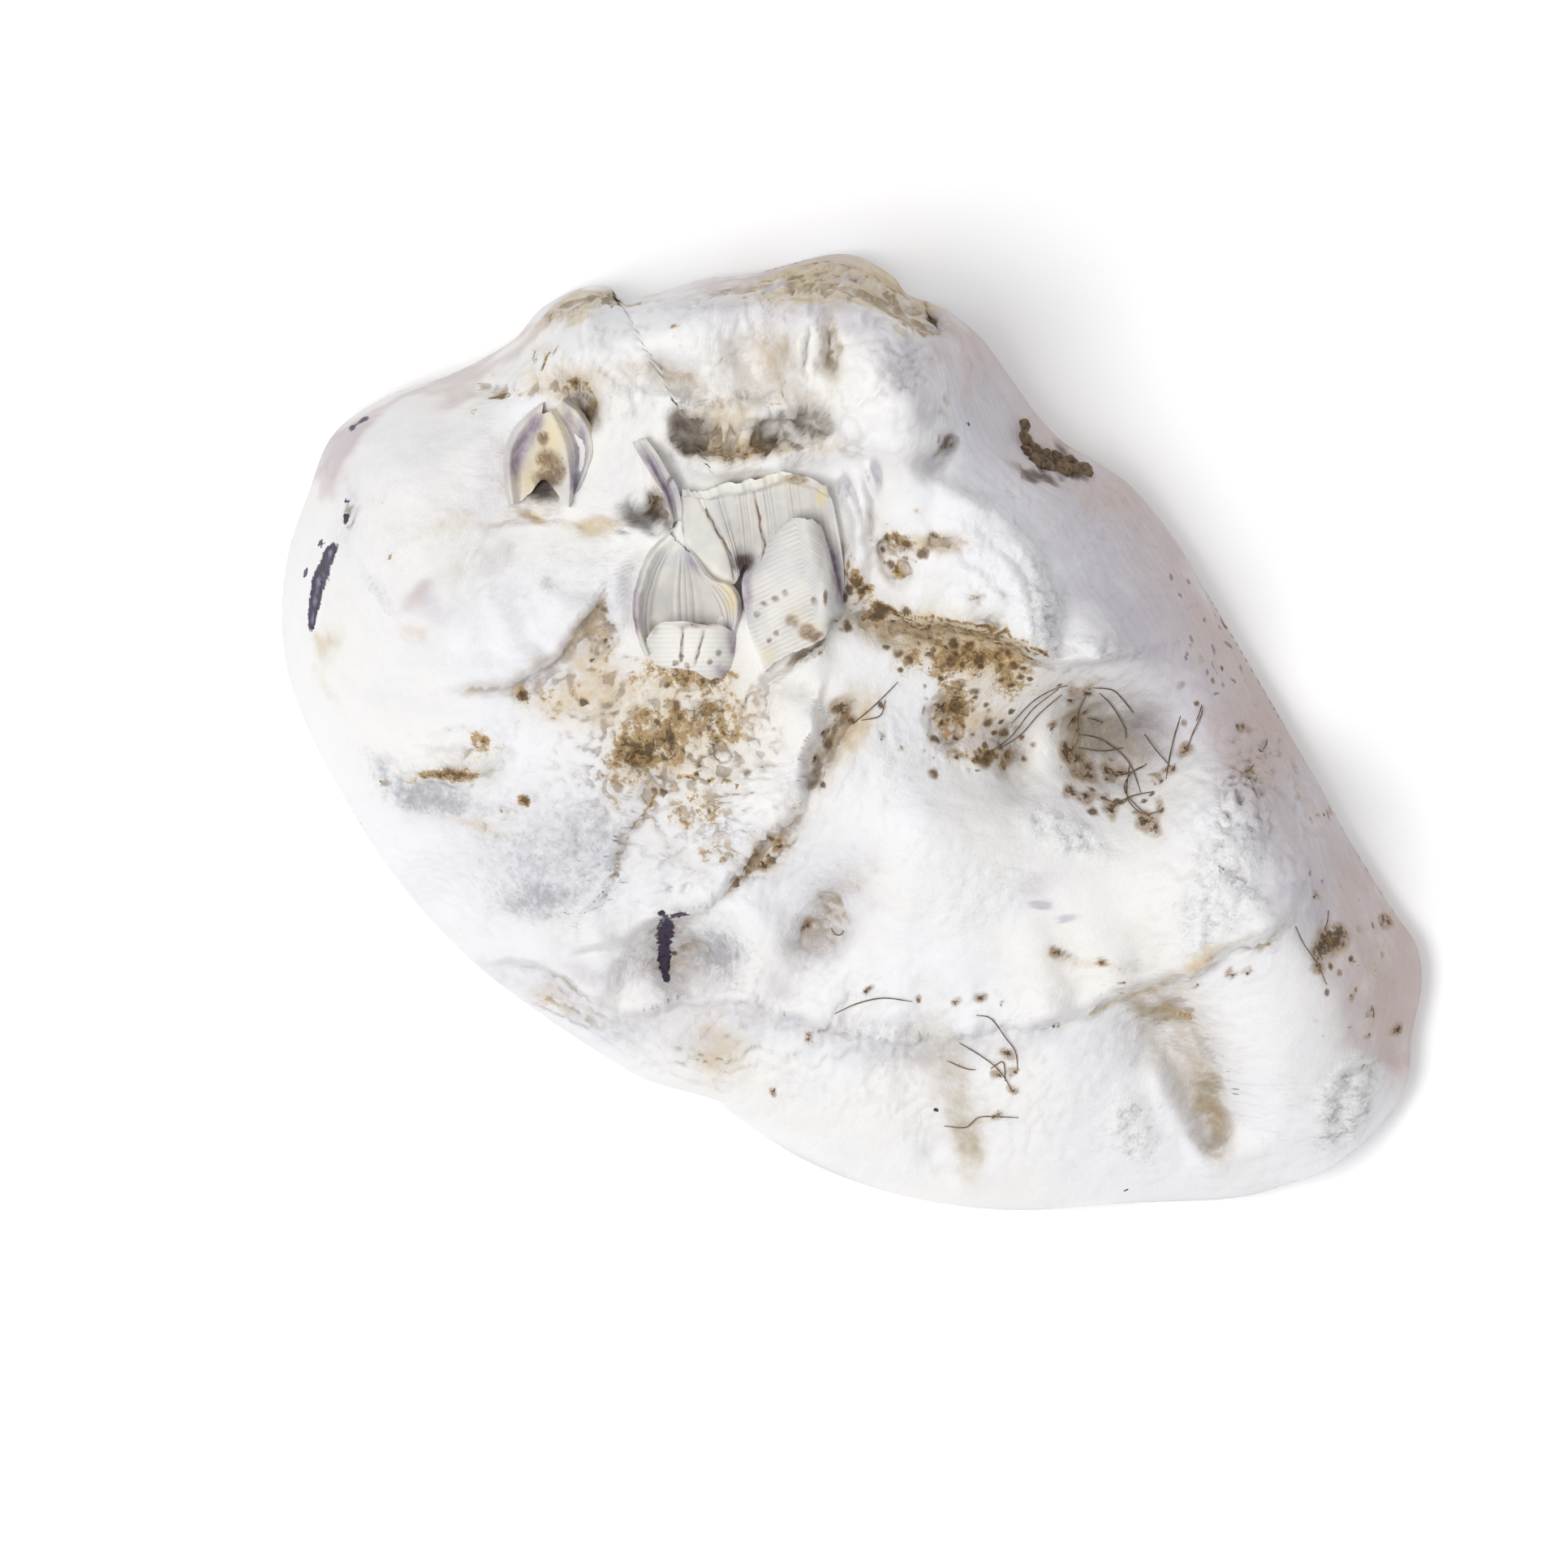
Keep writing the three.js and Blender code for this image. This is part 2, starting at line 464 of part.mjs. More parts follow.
// The largest body of a solid, as a geometry again
function toGeometry(solid) {
  const body = solid.decompose().reduce((a, b) => (a.volume() > b.volume() ? a : b));
  const { vertProperties, triVerts } = body.getMesh();
  const geometry = new THREE.BufferGeometry();
  geometry.setAttribute("position", new THREE.BufferAttribute(new Float32Array(vertProperties), 3));
  geometry.setIndex(new THREE.BufferAttribute(new Uint32Array(triVerts), 1));
  return geometry;
}

function piece(name, geometry, finish) {
  geometry.computeVertexNormals();
  const mesh = new THREE.Mesh(geometry, new THREE.MeshStandardMaterial(finish));
  mesh.name = name;
  return mesh;
}

const surveyed = new THREE.Group(); // everything in the frame of the plan
const shellBlank = shellGeometry();
surveyed.add(piece("shell", shellBlank, SHELL_FINISH));

// Each plate is cut clear of the plates laid before it
const EVERY_WAY = [-PLATE_GAP, PLATE_GAP].flatMap((gap) => [[gap, 0, 0], [0, gap, 0], [0, 0, gap]]);
const cutters = [];
for (const barnacle of BARNACLES) {
  const clear = cutters.reduce((solid, cutter) => solid.subtract(cutter), toSolid(plateGeometry(barnacle)));
  const geometry = toGeometry(clear);
  surveyed.add(piece(barnacle.name, geometry, BARNACLE_FINISH));
  cutters.push(...EVERY_WAY.map((way) => toSolid(geometry).translate(way)));
}

const oyster = new THREE.Group();
surveyed.rotation.z = TURN;
surveyed.position.set(-FOOTPRINT_MIDDLE[0], -FOOTPRINT_MIDDLE[1], 0);
oyster.add(surveyed);

export default oyster;
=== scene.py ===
"""Looks of a weathered, cupped oyster shell with barnacle remains, dried threads and dirt.

Places on the shell are given on its sheet: millimetres across and up from a point near the middle
of the outline, as the shell is seen from straight above. The sheet lies turned in the object's own
frame, where the shell's length runs along X and its rim rests on Z = 0.
"""

import json
import math

import bpy
import numpy as np
from bpy.props import FloatProperty, FloatVectorProperty, IntProperty, PointerProperty
from mathutils import Matrix, Vector
from mathutils.bvhtree import BVHTree
from mathutils.kdtree import KDTree

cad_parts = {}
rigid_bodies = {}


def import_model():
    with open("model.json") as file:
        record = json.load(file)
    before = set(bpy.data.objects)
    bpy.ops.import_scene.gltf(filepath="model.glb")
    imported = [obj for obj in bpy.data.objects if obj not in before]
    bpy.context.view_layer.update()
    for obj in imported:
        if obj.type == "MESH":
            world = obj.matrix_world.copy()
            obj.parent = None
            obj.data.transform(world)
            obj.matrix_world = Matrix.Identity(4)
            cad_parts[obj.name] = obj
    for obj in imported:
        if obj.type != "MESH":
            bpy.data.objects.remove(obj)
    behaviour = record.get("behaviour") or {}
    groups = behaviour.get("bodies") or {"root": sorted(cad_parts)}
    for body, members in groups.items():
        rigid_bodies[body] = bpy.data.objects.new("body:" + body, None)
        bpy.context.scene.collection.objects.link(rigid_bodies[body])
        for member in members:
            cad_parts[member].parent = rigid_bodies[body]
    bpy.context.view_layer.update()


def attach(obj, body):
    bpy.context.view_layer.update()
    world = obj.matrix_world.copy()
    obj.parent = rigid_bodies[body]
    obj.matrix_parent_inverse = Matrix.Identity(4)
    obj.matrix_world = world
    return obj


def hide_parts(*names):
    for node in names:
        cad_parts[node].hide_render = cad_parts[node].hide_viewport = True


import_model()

bl_info = {
    "name": "Oyster Shell",
    "version": (1, 0, 0),
    "blender": (4, 5, 0),
    "location": "View3D > Sidebar > Oyster",
    "description": "Builds the finished surface of an oyster shell and what grew on it",
    "category": "Object",
}

MM = 0.001

# Where the sheet lies in the object's own frame
TURN = math.radians(35)
FOOTPRINT_MIDDLE = (2.77, -0.234)

# Rim and inside of the shell
RIM_HEIGHT = 3.0
RIM_BEVEL = 0.7
LAND_OUTER = 0.975
LAND_INNER = 0.925
HINGE_PLATE = 0.13
HINGE_DIRECTION = 104
HINGE_SPREAD = 26
WALL = 6
CUP_FULLNESS = 2.6
CUP_ROUNDNESS = 0.85
CUP_EASE = 25
LEDGE_EDGE = 9
LEDGE_SLOPE = 2.6
FACE_EASE = 0.6

# Plan of the rim, going round anticlockwise from the right: across, up
RIM = [
    (39.1, 0), (34.8, 7.4), (31, 13.8), (29.4, 16.6), (27.1, 19.7), (24.8, 22.3), (21.9, 24.3),
    (18.9, 26.1), (16.5, 28.6), (14.2, 31.8), (11.5, 35.4), (8.1, 38.2), (5, 39.3), (3.6, 41),
    (0.6, 42.7), (-2.5, 42.8), (-8.8, 41.2), (-13.2, 40.7), (-18, 39.3), (-20.6, 38.8), (-21.8, 40),
    (-24.6, 39.8), (-28, 37.9), (-30.5, 35.1), (-35.8, 32.2), (-41.6, 30.2), (-46.4, 26.8),
    (-48.6, 21.6), (-50.4, 16.3), (-51, 10.8), (-50.4, 5.3), (-48.3, -0.2), (-45.2, -6),
    (-40.5, -13.2), (-34.4, -19.9), (-27.8, -25), (-21.3, -29.3), (-17.9, -31.1), (-12.2, -32.7),
    (-10.6, -34), (-4, -38.2), (4.3, -41.2), (13.8, -42.5), (24.2, -41.9), (33.6, -41.5),
    (38.6, -40.3), (42.9, -38.6), (47.6, -34.6), (49.6, -31), (50, -27), (50.9, -22.3),
    (50.4, -18.8), (48.3, -15.7), (44.4, -9.4), (41.7, -4.4),
]

# Landmarks of the outer face before its ledges and hollows: across, up, height
LANDMARKS = [
    # crest of the umbo, and the slope behind it
    (-24, 33.5, 27), (-14, 35, 30), (-4, 35.5, 31.5), (2, 34, 32.5), (5, 29, 33), (5, 24, 31),
    (-26, 40, 21), (-10, 42, 25), (2, 43, 24),
    # right flank near the hinge
    (9.5, 34, 21), (13, 31, 15), (10, 27, 24), (16, 26, 16), (12, 22, 25.5), (19, 21, 20), (26, 20, 11),
    # left shoulder
    (-45, 25, 15), (-40, 24, 22), (-47, 14, 15), (-40, 16, 24), (-46, 5, 11), (-39, 8, 20.5),
    (-33, 22, 23.5), (-32, 13, 22.5), (-36, 31, 18),
    # ground that carries the barnacles
    (-26, 22, 25.5), (-22, 16, 23.5), (-16, 30, 27.5), (-14, 20, 26.5), (-8, 30, 28.5), (-6, 18, 27),
    (-14, 9, 23.5), (-4, 9, 25.5), (0, 22, 28.5),
    # middle lobe
    (8, 16, 28), (14, 15, 28), (16, 9, 27), (4, 13, 26.5), (21, 13, 21.5), (22, 8, 23), (27, 8, 18.5),
    (31, 10, 11.5),
    # long hollow
    (10, 1, 20), (16, 1, 17.5), (22, 0, 14.5), (28, 1, 14.5), (25, -5, 15), (33, 0, 13), (37, 1, 9),
    # scaly cone
    (-22, 3, 19.5), (-12, 2, 22.5), (-5, 1, 25), (-6, -5, 24), (-14, -6, 20), (-22, -5, 17),
    # left flank, grey pit and brown groove
    (-44, -3, 8), (-37, -2, 13.5), (-36, -9, 9.5), (-28, -4, 15.5), (-28, -12, 12.5), (-30, -18, 7.5),
    (-21, -12, 15.5), (-22, -18, 12), (-16, -20, 9), (-10, -20, 12), (-4, -14, 15), (-1, -18, 14),
    # centre rib
    (3, -3, 23.5), (6, -9, 24.5), (5, -14, 21.5), (13, -8, 21.5), (14, -14, 20.5), (20, -9, 18.5),
    (10, -20, 17.5), (20, -18, 18.5),
    # scale on the right
    (31, -6, 18.5), (37, -6, 16), (34, -12, 21), (38, -14, 19), (30, -17, 19), (43, -12, 11),
    # lower layer and the ribs of the rim
    (-24, -24, 6.5), (-14, -27, 6.5), (-5, -25, 10), (-4, -32, 6), (5, -25, 12.5), (4, -34, 7),
    (8, -39, 5), (16, -24, 16), (19, -31, 13), (21, -38, 7.5), (26, -26, 12.5), (35, -22, 16.5),
    (38, -29, 14), (37, -37, 7.5), (42, -22, 14.5), (43, -33, 9), (47, -22, 8.5), (47, -29, 7),
]

# Growth ledges, with the high side on the left of the line: rise, how far it fades, edge, line
LEDGES = {
    "lip of the left shoulder": (2.6, 4.2, 0.4, [
        (-37, 3.6), (-35.5, 4.3), (-32, 4.6), (-29, 5.5), (-26, 7.5), (-23.5, 10), (-21.5, 13.5),
        (-20.8, 16)]),
    "upper growth layer": (1.9, 5, 0.4, [
        (-35, -19.5), (-33, -20.3), (-29.5, -20.2), (-26.5, -21.3), (-24, -23.6), (-21, -24.8),
        (-18, -24.6), (-14, -23.6), (-10.5, -23.6), (-7, -24.4), (-1, -26.5), (6, -27.2), (14, -26),
        (19, -25), (23, -23.6), (28.5, -21.4), (34, -19.4), (37, -17.6), (38.8, -15.5), (39.8, -12),
        (39.6, -8), (38.6, -4), (37, -1)]),
    "foot of the middle lobe": (3.0, 4.2, 0.5, [
        (1, 11), (3, 11), (6, 10.3), (9, 9.6), (13, 8.3), (17, 6.5), (20, 6.2), (25, 7.3), (29, 8.6)]),
    "right edge of the crest": (2.4, 4, 0.8, [
        (6.2, 21.6), (7.2, 25), (7.6, 28.8), (6.8, 32.4), (4.2, 35.4), (-1, 37.4), (-8, 38)]),
    "fold in the crest": (1.6, 2.4, 0.4, [(-3.2, 29), (-4.2, 32), (-4.4, 35), (-3.4, 37.4)]),
    "shelf over the barnacles": (1.6, 3.2, 0.5, [(-2, 25.4), (-7, 24.9), (-12, 24.6), (-16.4, 25.6)]),
    "ridge left of the holes": (1.3, 2.4, 0.5, [
        (-10.6, 25.4), (-12, 28.4), (-15.4, 30), (-20, 30.6), (-24, 31)]),
    "layer across the shoulder": (0.7, 3, 0.4, [
        (-22.4, 17.6), (-26, 18.6), (-31, 18), (-34, 15), (-35, 11.6)]),
    "broken edge under the plate": (1.4, 2.2, 0.4, [
        (-1, 9.6), (-3.6, 7.4), (-6, 5.4), (-7.4, 3), (-7, -0.6)]),
    "scale of the middle lobe": (1.5, 3, 0.5, [
        (18.2, 8), (17.7, 9.5), (17.2, 13.5), (15, 17.5), (11, 21), (7, 22.6)]),
    "second scale": (0.6, 1.8, 0.4, [(15.8, 8.8), (15.2, 12), (13.3, 15.6), (10, 18.6)]),
    "third scale": (0.5, 1.6, 0.4, [(13.2, 9.6), (12.7, 12), (11.3, 14.2), (8.8, 16)]),
    "edge of the scaly cone": (2.0, 3, 0.4, [(-5.6, -7.6), (-4.8, -6.3), (-4, -2), (-2.8, 2), (-2, 6)]),
    "foot of the scaly cone": (2.6, 5, 0.45, [
        (-26, -20.2), (-24, -19.3), (-21, -18.3), (-17, -16.3), (-13, -15), (-10.5, -12.5),
        (-8, -9.3), (-5, -6.5), (-3.5, -5)]),
    "low layer at the left": (0.7, 4, 0.45, [
        (-30, -21.8), (-28, -22.8), (-22, -26), (-18, -28.5), (-12, -31), (-9, -32.3)]),
    "left rim layer": (0.6, 3, 0.45, [
        (-47, -3), (-43.5, -8.5), (-40, -13), (-36.5, -17), (-33, -20)]),
    "layer under the dome": (0.8, 4, 0.45, [
        (-36.5, 7.8), (-40, 10.3), (-43.5, 14.5), (-46, 19), (-45.5, 23), (-43, 26.6), (-40, 29.6)]),
    "white flake": (0.6, 2.4, 0.4, [(-27, 3.2), (-23, 2.2), (-19, 2.6), (-16.6, 4.6)]),
    "plate across the cone": (0.8, 3, 0.4, [
        (-24.4, -17), (-22.6, -14.4), (-20.8, -10), (-19.2, -7.4), (-17.4, -3.8), (-14, -4),
        (-10, -4.8), (-7, -5.6)]),
}

# Ridges and grooves, below zero for a groove: half-width, height, line
FURROWS = {
    "brown channel": (1.9, -2.8, [(-0.5, 13), (1, 11.5), (3, 10), (8, 9), (13, 7.5), (17, 6)]),
    "crack beside the cone": (1.0, -2.0, [(0.8, 4), (-1.5, 0), (-3, -3), (-4.5, -7)]),
    "deep rim groove": (3.4, -4.2, [(26, -21.5), (29, -28), (31.5, -33), (34, -39)]),
    "shallow rim groove": (2.6, -2.2, [(3, -25), (5, -30), (8, -35), (11, -41)]),
    "notch of the right flank": (1.2, -4, [(15, 28.5), (15.5, 25), (18, 23.8), (21.5, 24.5)]),
    "crease below the crest": (1.3, -4, [(5.4, 22.5), (7.5, 24.8), (9.8, 27.2)]),
    "ridge beside the grey pit": (2.0, 1.6, [(-12, -13), (-7, -19), (-3, -24)]),
    "crease behind the chevron": (1.1, -2.8, [(-26, 31), (-24, 29.5), (-22.5, 26.5)]),
    "crease right of the scale": (1.5, -1.4, [(41, -10), (41, -16), (42, -20), (43, -23)]),
    "long crack": (0.34, -0.6, [
        (-17, -4), (-19, -8), (-20.5, -11), (-22, -14), (-24, -16), (-24.2, -19.2)]),
    "ridge of the crest": (0.8, 0.5, [(-5.2, 30.6), (-4.8, 33.6), (-4.5, 37)]),
    "second ridge of the crest": (0.9, 0.1, [(0.6, 30.6), (0.4, 33.6), (-0.4, 37)]),
    "tan crease": (1.0, -3.4, [(-1.9, 38), (-2, 33.6), (-1.8, 31)]),
    "tan hollow": (1.2, -2, [(-18.5, 33), (-14, 31.5), (-12, 31)]),
    "left lip of the deep groove": (1.0, 1.3, [(25.5, -28), (27.5, -32), (31, -37.5), (32.5, -40.5)]),
    "ground over the wall": (1.0, 1.6, [
        (-17, 22.6), (-14, 23.4), (-10.6, 24), (-7, 25), (-3.8, 24.9), (-1.4, 23.6)]),
    "ground right of the wall": (0.8, 1.5, [(-1.4, 24), (-0.2, 21), (0.3, 17), (0.2, 13), (0.4, 10)]),
    "ground left of the cup": (0.9, 1.2, [
        (-17.6, 18), (-19.8, 16), (-20.8, 13), (-20.8, 9.6), (-19.8, 6.6)]),
    "first strip by the wall": (0.42, 1.5, [(-1.4, 23.6), (-0.6, 21.5), (-0.1, 19), (0, 17)]),
    "second strip by the wall": (0.42, 1.3, [(0.1, 24.2), (0.7, 21.6), (0.9, 19), (0.7, 17.2)]),
    "third strip by the wall": (0.4, 1.0, [(1.3, 24.4), (1.9, 22.4), (2, 20.4)]),
    "crumbled tube": (0.6, 0.9, [
        (-36.3, 0.2), (-38.4, -0.6), (-38.9, -2), (-38, -3.2), (-36.3, -3.7), (-34.6, -3.8),
        (-33, -2.8), (-31.8, -1.8), (-32.6, -0.4), (-34.4, 0.2)]),
}

# Hollows and lumps: middle, half-widths, height, turn in degrees
HOLLOWS = {
    "hollow in the crest": ((-8.2, 33.2), (3, 3.6), -4.6, 8),
    "floor of the long hollow": ((23.4, -0.3), (5.4, 4.2), -4.2, -20),
    "grey pit": ((-15.5, -20), (4.6, 3), -3.4, -5),
    "brown pit": ((-2, -17), (2.4, 4), -2.6, -35),
    "purple pit": ((14.5, -2.5), (2.2, 3), -2.2, 0),
    "seat of the small barnacle": ((-14.5, 11), (3.4, 4.4), -1.6, 0),
    "seat of the chevron barnacle": ((-27.6, 24), (3, 4), -3.2, 0),
    "lump on the crest": ((3, 29), (2.6, 6), 0.9, 10),
    "upper left lump": ((-27, 33), (4.5, 1.8), 1.8, 15),
    "small hole in the shoulder": ((-45, 20), (0.6, 1.3), -1.5, 0),
    "small hole by the lump": ((-32, 30.5), (1.3, 0.9), -2.2, 0),
    "white bead": ((0, 27), (0.9, 1.2), 1.3, 0),
    "white tongue by the wall": ((-0.3, 17.3), (0.6, 0.8), 1.0, 0),
    "white point under the chevron": ((-27.5, 20.8), (0.9, 1.5), 1.8, 0),
    "lump left of the crest": ((-9.5, 28.4), (1.8, 1.2), 1.6, 0),
    "white flesh scar": ((-23.5, 3.8), (3, 1.2), 0.5, -8),
    "hole behind the flake": ((-1.4, -18), (0.9, 1.2), -0.9, 30),
}

# Holes with steep walls: middle, half-widths, height, turn in degrees
HOLES = {
    "seat of the large barnacle": ((-8, 16.2), (6.2, 5.4), -2, 0),
    "middle of that seat": ((-9.6, 15.6), (3.6, 3), -2.2, 0),
    "hole left of the crest": ((-14.4, 27), (1.7, 1.9), -5, 20),
    "hole under the crest": ((-7, 26.4), (1.9, 1.0), -4, 35),
    "hole right of it": ((-3.6, 28), (2, 1.4), -4.5, -15),
    "hole beside the wing": ((-18, 19.6), (2.3, 1.5), -5.5, 0),
    "pit in the dirt": ((-17.6, -2.6), (2.2, 1.1), -1.3, -15),
    "pit under the small barnacle": ((-13, 2.4), (2, 0.8), -1.1, 10),
    "pit at the cone": ((-11.4, -2), (1.2, 1.8), -1.1, 0),
    "pit in the flakes": ((-22, 8), (1.2, 2), -1.2, -15),
    "pit by the ring": ((-35, -2.2), (2.2, 1.0), -0.8, 0),
    "pit on the hinge": ((-4.6, 40.6), (3, 1.1), -1, 4),
    "pocket by the plate": ((3.6, 15.4), (1.6, 2.2), -1.6, 20),
    "pocket beside it": ((8, 16.8), (2.4, 0.9), -0.9, -10),
    "pit beside the purple one": ((8.6, 1), (1.6, 2.2), -1.1, 0),
}

# How far in from the rim the face reaches its full height: direction in degrees, width
SHOULDERS = [
    (-180, 13), (-150, 9), (-120, 6), (-90, 5), (-60, 4), (-35, 5), (0, 6), (60, 6), (90, 3.5),
    (120, 4.5), (150, 9), (165, 12), (180, 13),
]

# Top of the cliff behind the crest, and folds of the rim: place, lift and how far they reach
CLIFF = [
    (-31, 34.5), (-27, 36.8), (-22.5, 38.2), (-19, 37.6), (-12, 38.3), (-6, 38.8), (0, 38.2), (4, 36.4),
    (6.5, 35), (9.5, 36.5),
]
CLIFF_EDGE = 0.7
RIM_FOLDS = [((22, -42), 1.6, 8), ((43, -38), 1.8, 7), ((-4, -38), 0.9, 7)]

# Fine relief of the face: bands of growth lines that follow a line on the sheet
# spacing, height, how far to the left and right of the line they reach, line
GROWTH_BANDS = {
    "round the crest": (1.15, 0.16, 3, 6, [
        (-12, 39), (-4, 38.6), (2, 37), (5.2, 33), (6.4, 28), (6, 22)]),
    "side of the middle lobe": (0.95, 0.16, 1.5, 9.5, [
        (19, 5), (18.4, 8), (17.8, 13), (15, 17.5), (11, 21.3), (8, 23)]),
    "round the left shoulder": (2.1, 0.10, 9, 3, [
        (-37, 5), (-33, 4.6), (-29, 5.5), (-26, 7.5), (-23.5, 10), (-21.5, 13.5)]),
    "flakes of the lower left rim": (1.25, 0.42, 1, 5.5, [
        (-31, -21), (-25, -24.5), (-18, -28), (-12, -30.6), (-8, -33)]),
    "edge of the right scale": (0.9, 0.16, 4, 1.5, [(34, -19.4), (37, -17.6), (39, -14), (39.6, -8)]),
    "rim below the right rib": (1.0, 0.14, 3, 3, [
        (20, -40), (30, -40), (38, -38.5), (44, -35), (47, -30)]),
}
FLANK_LINES = (1.5, 0.09)

# Crumbly chalk: middle, half-widths, turn in degrees, height
CHALK = [
    ((34, -8.5), (2.2, 5), -12, 0.55), ((32, -15), (2.6, 4.6), -20, 0.5),
    ((34.6, -4.8), (2, 2), 0, 0.3),
    ((44, -32.5), (2.3, 4.4), -25, 0.6), ((25, -35.2), (1.6, 3), 20, 0.5),
    ((19, -9), (4.6, 1.7), -25, 0.35),
    ((12, -14), (5, 3), 20, 0.14), ((13, 14), (3, 5), 25, 0.12), ((16.6, 10.5), (1.4, 3.4), 10, 0.3),
    ((3, -3), (3, 4), 0, 0.12), ((21.5, 7.6), (5, 0.9), -8, 0.3), ((-24.5, -14), (3, 4), 0, 0.22),
    ((-31, -8), (5, 4), -20, 0.2), ((-28.6, -25.6), (3, 0.8), -28, 0.2),
    ((4, -26.2), (6, 0.8), -4, 0.22),
]
# Places where thin layers have flaked off: middle, half-widths, turn in degrees, height
FLAKED = [
    ((-16, -6), (12, 11), 0, 0.6), ((6, -8), (14, 12), -20, 0.15), ((-6, -26), (22, 7), -8, 0.34),
    ((20, -30), (26, 10), 0, 0.22), ((-28, 14), (16, 14), 0, 0.16), ((-8, 32), (20, 8), 0, 0.4),
    ((12, 14), (10, 9), 30, 0.14), ((34, -12), (8, 14), -15, 0.34), ((-34, -8), (12, 12), 0, 0.16),
    ((28, 14), (24, 12), -45, 0.14),
]
# Rough, dirty ground: middle, half-widths, turn in degrees, height
ROUGH_GROUND = [
    ((-15.5, 0), (7.5, 5.5), 5, 0.5), ((-13, -8.5), (4.5, 3.2), 0, 0.4),
    ((-24, 4), (5.5, 2.4), 15, 0.35),
    ((-22, 8.5), (1.8, 2.8), 0, 0.3), ((-9, 26), (9, 3.4), 5, 0.4), ((-25.5, 31), (6, 1.6), 0, 0.35),
    ((-4, 40.6), (6.5, 1.9), 4, 0.55), ((4.5, 38), (5, 1.4), -28, 0.5), ((-24, 38), (5, 1.6), 18, 0.4),
    ((4.5, 16.5), (4, 2.2), 0, 0.3), ((-12, -19.5), (4, 3), -10, 0.2),
    ((-36, -2.5), (4.5, 2.4), 0, 0.4),
    ((8, 8.4), (9, 1.6), -18, 0.3), ((10.4, 0.5), (3.4, 3.2), 0, 0.3), ((-2, -15), (2.2, 4), -35, 0.2),
]

